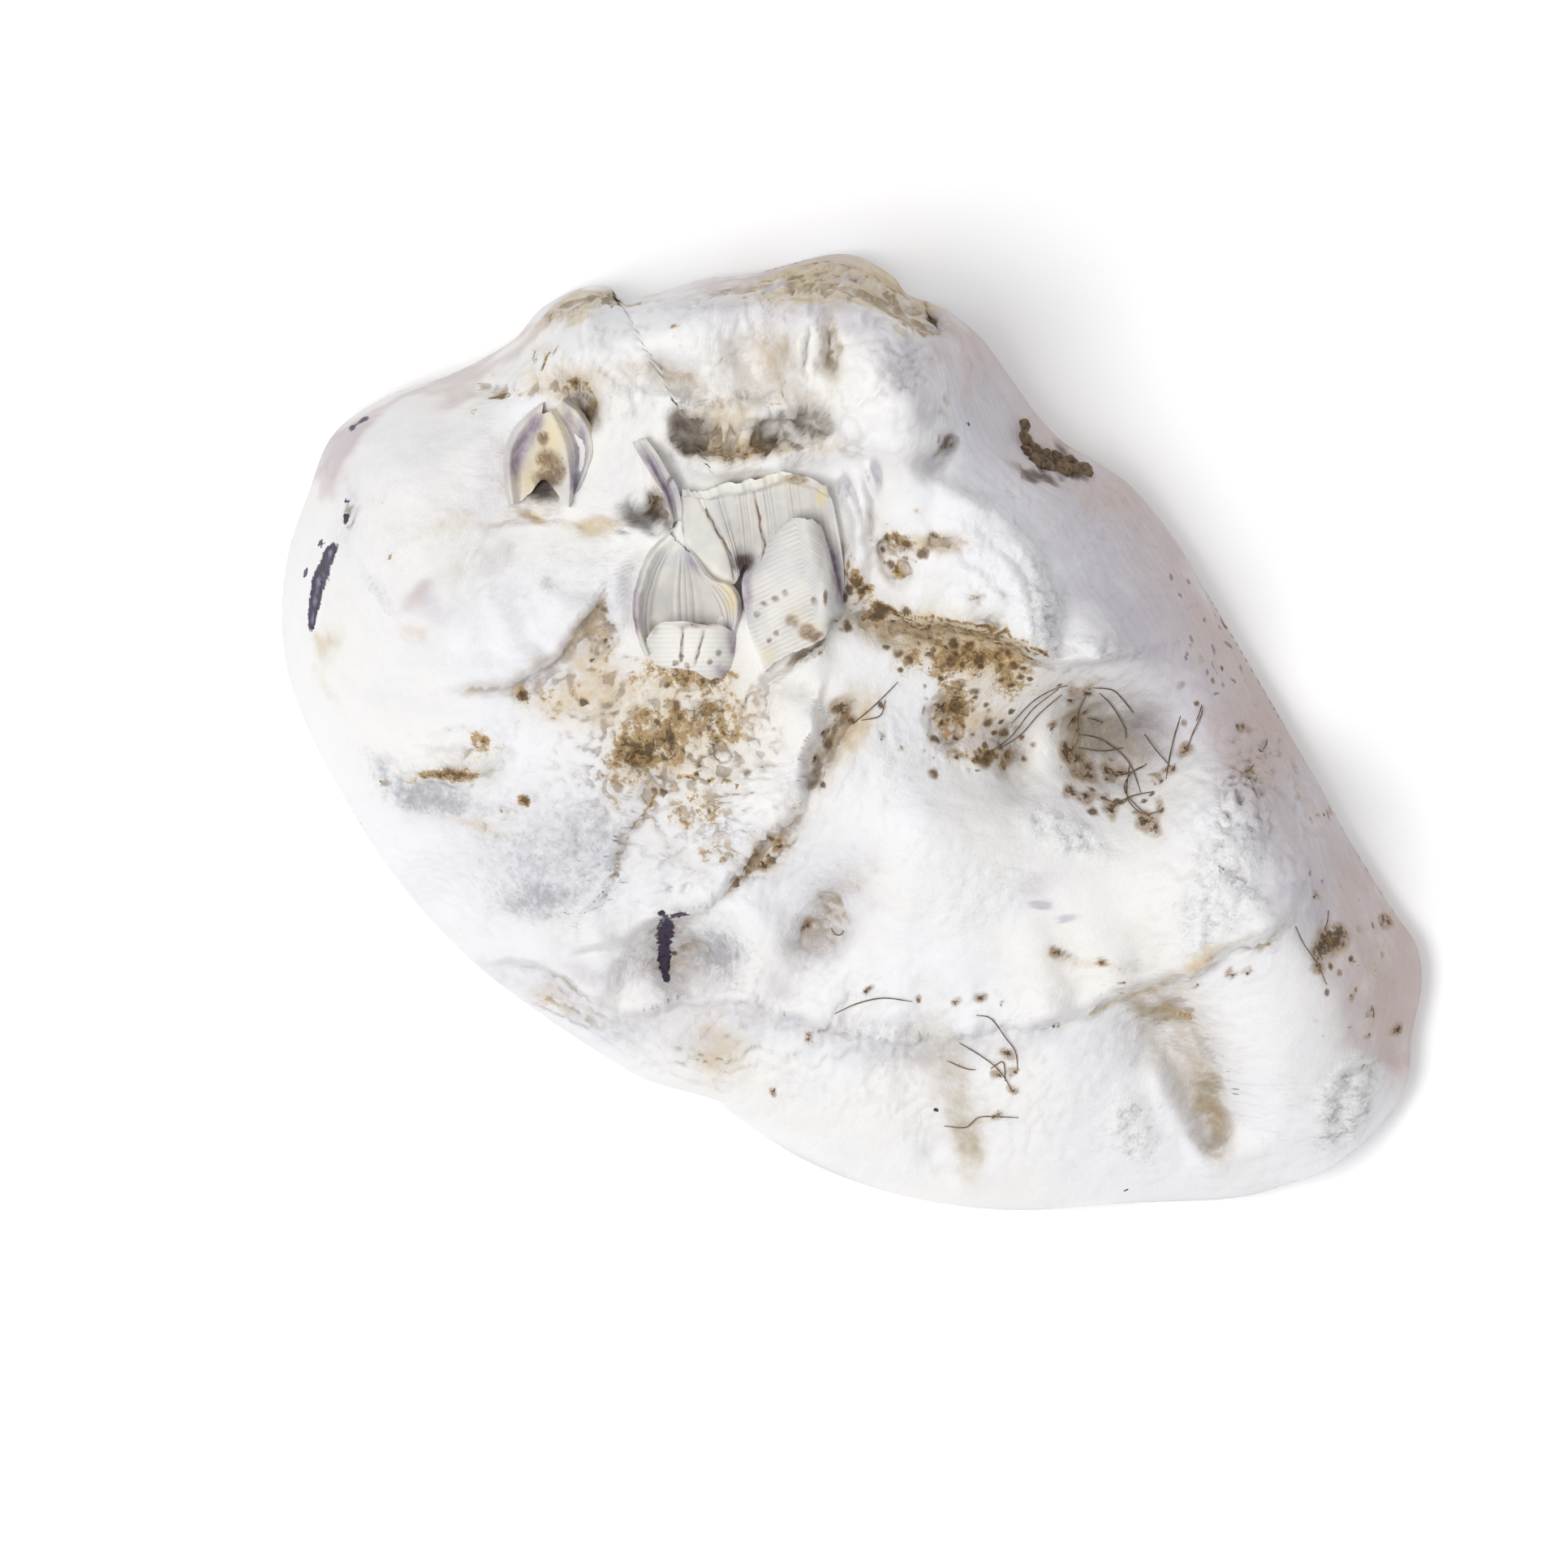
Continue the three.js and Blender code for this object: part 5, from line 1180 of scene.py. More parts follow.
CHEVRON_RAILS = [
    [(-27.4, 29.5, 25.2), (-29.9, 27.3, 24.4), (-30.9, 25, 23.8), (-30.9, 22.4, 23.8),
     (-30.5, 20, 23.8)],
    [(-27.3, 29.3, 26), (-29.4, 27.1, 25.8), (-30.4, 24.9, 25.6), (-30.4, 22.4, 25.3),
     (-30.1, 20.1, 24.8)],
    [(-27.5, 28.6, 26.2), (-28.6, 26.6, 25), (-29.5, 24.5, 24.3), (-29.4, 22.3, 24),
     (-29.5, 20.3, 23.8)],
    [(-27.4, 28.4, 26.6), (-27.8, 26.6, 25.8), (-28.1, 24.8, 25.2), (-28.2, 23.2, 24.9),
     (-28.6, 21.1, 24.4)],
    [(-27.2, 28.5, 27), (-27.1, 26.6, 26.6), (-27, 24.8, 26), (-26.9, 23.6, 25.6), (-27.3, 22.4, 25.2)],
    [(-26.9, 28.6, 27.2), (-26.1, 26.8, 27.4), (-25.6, 25, 27.4), (-25.3, 22.8, 27.1),
     (-25.4, 19.9, 26.2)],
    [(-26.6, 28.7, 26.8), (-25.4, 26.9, 26.6), (-24.8, 25, 26.4), (-24.8, 22.8, 26.2),
     (-25, 20.1, 25.6)],
    [(-26.3, 29, 26.3), (-25, 27.2, 25.9), (-24.1, 25, 25.6), (-24.3, 22.9, 25.4), (-24.8, 20.7, 25.1)],
    [(-25.8, 29.5, 26.6), (-24.2, 28, 26.9), (-23.2, 25.6, 26.8), (-23.6, 23.6, 26.4),
     (-24.6, 21.2, 25.6)],
    [(-25.6, 29.8, 25.6), (-23.8, 28.3, 25.6), (-22.7, 25.7, 25.8), (-23.2, 23.3, 25.4),
     (-24.5, 21, 24.8)],
]

# Seams between the plates that have grown together
LEFT_WALL_SEAM = [(-13.7, 21.1), (-12.5, 18.8), (-11.6, 17.3), (-10.7, 15.4), (-10.4, 13.5)]
RIGHT_WALL_SEAM = [(-8.8, 21.7), (-8.4, 19.6), (-8.1, 18), (-7.8, 16.5), (-8.5, 14.5)]
LEFT_LID_SEAM = [(-15.1, 9.8), (-15.1, 8.4), (-15.2, 7), (-15.3, 5.9)]
RIGHT_LID_SEAM = [(-13.1, 9.5), (-13.4, 8.2), (-13.8, 6.9), (-14, 5.7)]
SEAM_WIDTH = 0.16

# Colours that lie on the barnacles, as on the shell
BARNACLE_MASKS = {
    # Partly the pale thick rim of the wall, partly painted light on the sides that face the light
    "pale_and_lit": ([
        (-12.9, 17, 1.4, 4, 25, 0.5), (-2.4, 14, 0.5, 4, -8, 0.7), (-14.6, 7.4, 3.8, 2.2, -8, 0.7),
        (-6.6, 12, 1.8, 5, -12, 0.35), (-9, 20.4, 6, 1.8, 0, 0.3),
        (-11.6, 14, 2, 0.5, -40, 0.8), (-27, 27, 1.2, 2.4, 0, 0.4), (-16.3, 17, 1, 1, 0, 0.8),
    ], [
        (1.0, 1, [(-15, 21.8), (-12.6, 21.8), (-8.8, 22.7), (-5.4, 23.1), (-2.6, 22)]),
        (0.4, 0.6, [(-15.4, 22), (-15.2, 19), (-14.4, 16.4), (-12.6, 14)]),
        (0.3, 0.6, [(-9.6, 10), (-8.4, 7), (-7.2, 5.4)]),
    ]),
    "violet": ([
        (-9.5, 14.2, 0.6, 1.2, 0, 0.8), (-9.4, 12, 0.5, 1.4, 0, 0.7), (-14.2, 15.2, 0.4, 1.3, 30, 0.7),
        (-28.2, 27.4, 0.7, 1.3, -30, 0.8), (-29.2, 25.8, 0.7, 1.5, -25, 0.85),
        (-29.9, 24, 0.7, 1.6, -10, 0.85),
        (-24.2, 25.4, 0.6, 2.6, -5, 0.85), (-24.6, 22.6, 0.5, 1.6, 8, 0.8),
        (-25.2, 28.2, 0.5, 1.2, 20, 0.6), (-10.5, 7.6, 0.5, 2, 15, 0.85),
        (-11.6, 5.4, 0.5, 0.9, 30, 0.7), (-19, 12.5, 0.5, 2.4, 5, 0.5), (-15.6, 21, 0.7, 1.6, 10, 0.4),
        (-17, 23, 0.8, 1.8, 30, 0.3),
    ], [
        (0.45, 0.85, [(-2.4, 17.8), (-1.8, 15.8), (-1.2, 12.7), (-0.9, 10.7)]),
        (0.3, 0.8, [(-19.3, 25.9), (-17.6, 23.4), (-16.4, 21.3), (-15.9, 19)]),
        (0.3, 0.6, [(-19.2, 14), (-19.4, 11), (-18.9, 8.4)]),
    ]),
    "cream": ([
        (-2.8, 21, 0.55, 1, 0, 0.9), (-5, 22.3, 1.4, 0.5, -8, 0.6), (-10.7, 11.8, 0.6, 1.2, 10, 0.9),
        (-5.2, 10.4, 0.9, 0.9, 0, 0.5), (-3.9, 9, 1, 0.9, 0, 0.6), (-7.5, 6.9, 0.8, 0.8, 0, 0.5),
        (-26.8, 25.6, 1.5, 3.4, -3, 0.85), (-28.2, 22.8, 1.6, 2, 0, 0.75),
        (-11.2, 13, 1.2, 0.5, -30, 0.6), (-8, 22.6, 1.6, 0.4, -15, 0.4),
    ], [
        (0.25, 0.6, [(-25.4, 29.6), (-23.4, 27.6), (-22.8, 25.4), (-23.6, 23)]),
    ]),
    "soil": ([
        (-5, 22.5, 1.3, 0.5, -8, 0.7), (-9.6, 15.2, 0.9, 0.8, 0, 0.9), (-2.4, 12.1, 0.22, 0.8, 0, 0.9),
        (-5.4, 10, 0.8, 0.7, 0, 0.6), (-4, 9, 0.9, 0.8, 0, 0.75), (-3.4, 11.8, 0.4, 0.5, 0, 0.6),
        (-3.2, 8.6, 0.7, 0.4, 30, 0.8), (-6, 12.5, 0.4, 0.37, 0, 0.6), (-6.9, 12, 0.37, 0.37, 0, 0.6),
        (-7.9, 11.5, 0.37, 0.37, 0, 0.6),
        (-8.5, 10.6, 0.37, 0.37, 0, 0.6), (-6.8, 8.9, 0.35, 0.35, 0, 0.6),
        (-7.4, 8.2, 0.35, 0.35, 0, 0.6),
        (-15.7, 6.3, 0.3, 0.3, 0, 0.8), (-15.1, 6.8, 0.3, 0.3, 0, 0.7), (-14.7, 6, 0.3, 0.3, 0, 0.7),
        (-11.9, 7.2, 0.3, 0.4, 0, 0.7), (-12.7, 6.4, 0.3, 0.3, 0, 0.7), (-27.4, 26.2, 0.6, 0.7, 0, 0.8),
        (-27.3, 24.4, 0.9, 0.9, 0, 0.85), (-27.2, 22.6, 1.3, 0.9, 0, 0.9),
        (-26.2, 23.6, 1, 1.4, 0, 0.6), (-19.4, 9.5, 0.5, 1.6, 0, 0.5),
        (-17.6, 9.4, 0.6, 1, 0, 0.4), (-13.6, 9.6, 2.4, 0.4, 0, 0.5),
    ], [
        (0.12, 0.9, LEFT_WALL_SEAM), (0.12, 0.8, RIGHT_WALL_SEAM),
        (0.12, 0.7, LEFT_LID_SEAM), (0.12, 0.7, RIGHT_LID_SEAM),
    ]),
    "shade": ([
        (-15.4, 18.05, 0.4, 0.7, 10, 1), (-16.1, 22.6, 0.22, 0.8, -30, 0.8),
        (-9.6, 15.3, 1, 0.9, 0, 0.9),
        (-27.3, 22, 0.8, 0.7, 0, 0.9), (-1.3, 10, 1, 0.5, 30, 0.5),
    ], []),
}


def along(points, share):
    """The smooth curve through the rows of points, at a share of its length for each point."""
    p = np.concatenate([2 * points[:1] - points[1:2], points, 2 * points[-1:] - points[-2:-1]])
    way = share * (len(points) - 1)
    row = np.minimum(way.astype(int), len(points) - 2)
    if p.ndim == 2:
        a, b, c, d = (p[row + k] for k in range(4))
    else:
        every = np.arange(len(share))
        a, b, c, d = (p[row + k, every] for k in range(4))
    return through(a, b, c, d, (way - row)[:, None])


def on_line(way, other=0):
    """Places for noise that changes along one way only."""
    return np.stack([way, np.zeros_like(way), np.full_like(way, other)], axis=1)


# How far colours wander on a plate, how thick it is at least and how deep its foot is sunk
PLATE_MASK_WARP = 0.15
PLATE_THINNEST = 0.4
PLATE_SINK = 0.9


def plate(name, rails, columns, rows, ragged, sculpt):
    """A plate with its top through the rails, ragged at its foot, that goes down into the shell."""
    piece = grid(name, columns, rows)
    square = places_of(piece)
    across, down = (square[:, 0] + 1) / 2, (1 - square[:, 1]) / 2
    wander = rough(on_line(across * 20, len(rails)), 2.2, 23, 3)
    start = 0.012 * (1 + rough(on_line(across * 30), 1.6, 29, 2))
    share = start + down * (1 - start - ragged * (0.5 + 0.5 * wander))
    each = np.array([along(np.array(rail, float), share) for rail in rails])
    top = along(each, across)
    place(piece, top)
    moved, growth = sculpt(top[:, 0], top[:, 1], across, down)
    moved = moved + 0.05 * rough(top, 2.2, 37, 3) + 0.02 * rough(top, 0.6, 38, 2)
    top = top + normals_of(piece) * moved[:, None]
    place(piece, top)
    paint(piece, "growth", growth)
    wu = top[:, 0] + PLATE_MASK_WARP * rough(top, 0.8, 91, 2)
    wv = top[:, 1] + PLATE_MASK_WARP * rough(top, 0.8, 93, 2)
    for colour, (ovals, streaks) in BARNACLE_MASKS.items():
        paint(piece, colour, mask(wu, wv, ovals, streaks))
    # The second skin is taken down into the shell, so the thickness here doesn't matter
    modify(piece, "SOLIDIFY", thickness=1.0, offset=-1)
    points = places_of(piece)
    count = len(top)
    foot = np.minimum(top[:, 2] - PLATE_THINNEST, face(top[:, 0], top[:, 1]) - PLATE_SINK)
    points[count:2 * count] = np.stack([top[:, 0], top[:, 1], foot], axis=1)
    place(piece, points)
    lay_down(piece)
    set_smooth(piece, math.radians(50))
    return piece


def seam(u, v, corners, rise):
    _, distance, presence, _ = Line(corners, 0.5).beside(u, v, 4 * SEAM_WIDTH)
    return rise * presence * np.exp(-((distance / SEAM_WIDTH) ** 2))


def ribs(way, spacing):
    """Rounded ribs of uneven height across way."""
    phase = way / spacing + 0.5 * np.sin(way / spacing * 1.3 + 1)
    cell = np.stack([np.floor(phase), phase * 0, phase * 0], axis=1).astype(np.int64)
    return (0.5 - 0.5 * np.cos(2 * math.pi * phase)) * (0.6 + 0.4 * lattice(cell + 400, 5))


def sculpt_wall(u, v, across, down):
    """A thickened upper rim, fine ribs from top to foot and two seams."""
    teeth = 1 + 0.7 * rough(on_line(across * 20), 1.3, 47, 2)
    rim = 0.55 * teeth * (1 - smooth(down, 0.08, 0.17))
    ribbed = smooth(across, 0.26, 0.32) * smooth(down, 0.08, 0.2)
    fine_ribs = 0.17 * ribbed * (1 - 0.6 * smooth(down, 0.4, 0.9)) * ribs(across, 0.034)
    total = rim + fine_ribs + (seam(u, v, LEFT_WALL_SEAM, -0.3) + seam(u, v, RIGHT_WALL_SEAM, -0.25))
    total += 0.06 * (1 - ribbed) * rough(on_sheet(u, v), 1.4, 41, 3)
    return total, np.zeros_like(u)


def sculpt_wing(u, v, across, down):
    """A groove from end to end, and the hole at its foot."""
    groove = -0.5 * blob(across, down, (0.5, 0.45), (0.13, 0.5))
    hole = -1.2 * blob(u, v, (-15.4, 18.05), (0.35, 0.6), 10)
    return groove + hole, np.zeros_like(u)


def sculpt_plate(u, v, across, down):
    """Fine growth lines that bend over the plate's keel."""
    keel = -5.2 + 0.20 * (19.2 - v)
    way = v + 0.42 * np.maximum(keel - u, 0) + 0.9 * np.maximum(u - keel, 0)
    waved = way + 0.12 * rough(on_sheet(u, v), 2, 43, 2)
    return 0.09 * steps(waved, 0.42, 3) + 0.05 * steps(waved, 1.3, 4), waved


def sculpt_cup(u, v, across, down):
    """Ribs inside the cup, which run from its point to its mouth."""
    ribbed = smooth(across, 0.2, 0.3) * smooth(across, 0.9, 0.8) * smooth(down, 0.05, 0.2)
    uneven = 0.08 * (1 - ribbed) * rough(on_sheet(u, v), 1.2, 45, 3)
    return 0.2 * ribbed * ribs(across, 0.056) + uneven, np.zeros_like(u)


def sculpt_small_plate(u, v, across, down):
    """Growth lines that waver a little, and two seams."""
    lines = 0.09 * steps(v + 0.15 * np.sin(across * 9), 0.36, 6)
    return lines + (seam(u, v, LEFT_LID_SEAM, -0.22) + seam(u, v, RIGHT_LID_SEAM, -0.22)), v


def sculpt_chevron(u, v, across, down):
    """Growth lines bent into an arch, and ribs on the right half."""
    lines = 0.05 * steps(v + 0.5 * np.abs(u + 26.5), 0.5, 7)
    return lines + 0.06 * ribs(across, 0.045) * smooth(across, 0.5, 0.6), np.zeros_like(u)


# Threads, tufts and dried growth

# Lines that the threads follow, and where the lumps of the clump lie: across, up
THREADS = [
    [(12.3, -1.6), (14.2, -0.1), (16, 2.2), (18.3, 4)],
    [(12.9, -1.4), (14.9, -0.1), (16.6, 1.8), (18.6, 3.5)],
    [(22, 3.6), (23.1, 2.5), (24.2, 0.7), (24.4, -0.4)],
    [(20.7, 3.3), (20.1, 1.8), (20.1, -0.4), (19.4, -1.6)],
    [(20.9, 1.4), (21.6, 1.3), (22.3, 1)],
    [(20.1, 0), (22, -0.4), (23.8, -1.6), (24.9, -3), (25.7, -5.3)],
    [(20.1, -1.2), (22.3, -1.5), (24.2, -1.2)], [(26, 0), (27.2, -1.6), (28.3, -2.9)],
    [(29.2, 1.6), (28.6, -0.4), (28.1, -2.7), (27.9, -4)],
    [(31.1, 2.5), (31.1, 1.8), (30.3, 0.1), (29.9, -1)],
    [(26.2, -2.7), (24.9, -3.4), (24.2, -4.9), (25.3, -6.4), (26.4, -7.3)],
    [(26.8, -5.1), (24.9, -5.5), (23.5, -6.2), (22.9, -6.8)],
    [(27.5, -6.8), (26, -7.1), (24.9, -6.4), (24.4, -5.3), (24.6, -3.4), (24.7, -2.7)],
    [(22.3, -3.4), (24, -3.6), (25.7, -3), (26.2, -2.6)], [(22, -5.6), (23.8, -6.2), (24.6, -5.6)],
    [(-1.6, -24.9), (0.4, -24), (2.7, -23.5), (5.3, -23.8)],
    [(11, -25), (12.3, -25.3), (13.6, -27), (14.5, -28.3), (14.7, -30)],
    [(9.5, -27.5), (11.2, -28.5), (12.7, -29.6), (13.6, -30.7), (14.2, -31.8)],
    [(8.4, -29.1), (10.1, -29.8), (11, -29.9)], [(12.3, -29.8), (13.4, -29.2), (13.6, -30.9)],
    [(8.2, -35), (10.1, -35.1), (11.2, -34.2), (12.7, -34.1), (14.8, -34.2)],
    [(39.4, -17.1), (40.1, -18.6), (41.4, -20.5), (42.2, -22.3)],
    [(42.4, -15.7), (42.3, -16.6), (42, -17.5)],
    [(37, -0.4), (36.9, -0.9), (36.6, -1.4)], [(35.7, -2.7), (35.4, -3.1), (35, -3.4)],
    [(46.3, -24.2), (46.5, -24.7), (46.5, -25.3)], [(0, 0.9), (2, 2.6), (4, 4.6)],
    [(0.75, 1.2), (2.4, 1.6), (2.9, 3)], [(31.1, 2.6), (30.9, 1.9), (30.6, 1.2)],
    [(25, 1.9), (24.1, 3), (23.1, 3.9), (21.3, 4.1)],
    [(14.1, 0.9), (15.9, 2.8), (17.7, 3.9), (19.1, 4.3)],
    [(-1.9, -17.3), (-1.6, -17.8), (-1.1, -17.9), (-0.8, -17.5)],
]
CLUMP = [(15.2, 27.4), (15.2, 26.2), (15.4, 25), (16.2, 24.2), (17.3, 23.7), (18.4, 23.5), (19.5, 23.4),
         (20.5, 23.4), (16.9, 24.6), (18.2, 24.3), (19.4, 24), (16, 25.4)]


class Ground:
    """Heights of the finished surface, for what lies on it."""

    def __init__(self, pieces):
        self.trees = []
        for piece in pieces:
            corners = [vertex.co.copy() for vertex in piece.data.vertices]
            faces = [tuple(polygon.vertices) for polygon in piece.data.polygons]
            self.trees.append(BVHTree.FromPolygons(corners, faces))

    def at(self, across, up):
        """The point on the surface and its normal, in metres."""
        above = Vector(over_sheet(across, up, 90))
        best = None
        for tree in self.trees:
            point, normal, _, _ = tree.ray_cast(above, Vector((0, 0, -1)))
            if point is not None and (best is None or point.z > best[0].z):
                best = point, normal
        if best is None:
            raise RuntimeError(f"nothing lies under {across}, {up}")
        return best


def chance(number, seed):
    """A fixed number between 0 and 1 for each whole number."""
    return 0.5 + 0.5 * float(lattice(np.array([[number + 50, seed, 7]]), seed)[0])


def thread(number, corners, thickness, ground):
    """One dried thread that arches a little over the surface between its ends."""
    sheet = open_curve(corners, 0.35)
    share = np.linspace(0, 1, len(sheet))
    lift = (0.25 + 0.5 * chance(number, 3)) * np.sin(math.pi * share) ** 0.7
    heights = np.array([ground.at(a, b)[0].z / MM for a, b in sheet])
    smoothed = np.convolve(np.pad(heights, 2, mode="edge"), np.ones(5) / 5, mode="valid")
    heights = np.maximum(heights + 0.4 * thickness, smoothed + lift)
    points = to_row(sheet[:, 0], sheet[:, 1], heights)
    deselect()
    bpy.ops.curve.primitive_nurbs_path_add()
    piece = bpy.context.object
    piece.location = (0, 0, 0)
    curve = piece.data
    curve.splines.clear()
    spline = curve.splines.new("POLY")
    spline.points.add(len(points) - 1)
    thinning = 1 - 0.45 * np.abs(2 * share - 1) ** 3
    for spot, point, radius in zip(spline.points, points, thinning):
        spot.co = (*point, 1)
        spot.radius = radius
    curve.bevel_depth = thickness / 2 * MM
    curve.bevel_resolution = 1
    curve.use_fill_caps = True
    take(piece)
    bpy.ops.object.convert(target="MESH")
    return bpy.context.object


def tuft():
    """A crumb of dried growth with short stubs, one unit in radius."""
    deselect()
    bpy.ops.mesh.primitive_ico_sphere_add(subdivisions=3, radius=0.55)
    crumb = bpy.context.object
    points = places_of(crumb)
    crumbly = 1 + 0.45 * rough(points, 0.45, 5, 3)
    place(crumb, points * crumbly[:, None] * [1, 0.8, 0.5])
    stubs = [crumb]
    for number in range(11):
        turn = 2.4 * number
        lean = 0.7 + 0.75 * chance(number, 9)
        size = 0.8 + 0.8 * chance(number, 8)
        deselect()
        bpy.ops.mesh.primitive_cone_add(vertices=5, radius1=0.07, radius2=0.02, depth=size,
                                        location=(0, 0, size / 2))
        stub = bpy.context.object
        bpy.ops.object.transform_apply(location=True, rotation=True, scale=True)
        stub.rotation_euler = (0, lean, turn)
        stub.location = (0.3 * math.cos(turn), 0.3 * math.sin(turn), 0)
        take(stub)
        bpy.ops.object.transform_apply(location=True, rotation=True, scale=True)
        stubs.append(stub)
    return join("tuft", stubs)


TUFT_SCALE = 0.8
FULL_TURN = 6.28


def tufts(ground):
    """All the tufts as one piece."""
    model = tuft()
    shape = places_of(model)
    copies = []
    for number, (across, up, size) in enumerate(TUFTS):
        point, normal = ground.at(across, up)
        copy = bpy.data.objects.new("tuft_copy", model.data.copy())
        bpy.context.scene.collection.objects.link(copy)
        turn = Matrix.Rotation(FULL_TURN * chance(number, 4), 3, "Z")
        upright = normal.to_track_quat("Z", "Y").to_matrix()
        spread = np.array(upright @ turn)
        stretch = [0.7 + 0.6 * chance(number, 5), 0.6 + 0.6 * chance(number, 6), 0.8]
        stretched = TUFT_SCALE * shape * stretch
        place(copy, (stretched * size * MM) @ spread.T + np.array(point))
        copies.append(copy)
    bpy.data.objects.remove(model, do_unlink=True)
    piece = join("dried_tufts", copies)
    set_smooth(piece)
    return piece


CLUMP_NARROW_END = 16
CLUMP_VOXEL = 0.13 * MM


def clump(ground):
    """Dried growth in the notch of the rim: lumps grown into one, smaller at its left end."""
    lumps = []
    for number, (across, up) in enumerate(CLUMP):
        point, _ = ground.at(across, up)
        deselect()
        size = (0.45 if across < CLUMP_NARROW_END else 0.7) + 0.3 * chance(number, 12)
        bpy.ops.mesh.primitive_ico_sphere_add(subdivisions=4, radius=size * MM)
        lump = bpy.context.object
        points = places_of(lump)
        uneven = 1 + 0.35 * rough(points / MM, 0.8, 20 + number, 3)
        place(lump, points * uneven[:, None] * [1, 1, 0.75] + np.array(point))
        lump.location = (0, 0, 0)
        lumps.append(lump)
    piece = join("dried_clump", lumps)
    modify(piece, "REMESH", mode="VOXEL", voxel_size=CLUMP_VOXEL)
    points = places_of(piece)
    moved = 0.12 * MM * rough(points / MM, 0.7, 33, 3)
    place(piece, points + normals_of(piece) * moved[:, None])
    set_smooth(piece)
    return piece


# Finishes

def tone(red, green, blue):
    """A colour from its screen values."""
    shares = (red / 255, green / 255, blue / 255)
    return tuple(c / 12.92 if c <= 0.04045 else ((c + 0.055) / 1.055) ** 2.4 for c in shares)


# Tones of the finishes that aren't set in the sidebar, some of them painted light and shade
TONES = {name: tone(*values) for name, values in {
    "chalk": (246, 246, 245), "chalk in painted shade": (206, 207, 214), "shadow": (206, 205, 212),
    "buff_stain_and_shade": (194, 178, 152), "umber_shade": (140, 128, 120), "flank line": (176, 168, 176),
    "grey speck": (156, 154, 158), "grime": (150, 118, 78), "dark grime": (112, 92, 66),
    "dirt edge": (220, 202, 168), "sandy dirt": (178, 146, 98), "earth": (104, 82, 56),
    "dark earth": (74, 60, 48), "halo": (160, 130, 92), "dark fleck": (92, 76, 58),
    "hole": (112, 94, 76), "deep hole": (70, 60, 56), "flank mark": (112, 108, 112),
    "painted ink highlight": (138, 138, 162), "darkest ink": (48, 42, 58), "pearl": (236, 234, 236),
    "green pearl": (226, 228, 224), "scar": (168, 152, 176), "warm plate": (218, 214, 206),
    "plate line": (158, 152, 160), "pale lit plate": (242, 240, 232), "plate hollow shade": (158, 150, 152),
    "plate cream": (226, 206, 158), "plate soil": (140, 106, 68), "dark plate soil": (84, 64, 48),
    "plate shade": (62, 56, 60), "dark growth": (84, 66, 48), "dark tuft": (78, 62, 46),
}.items()}


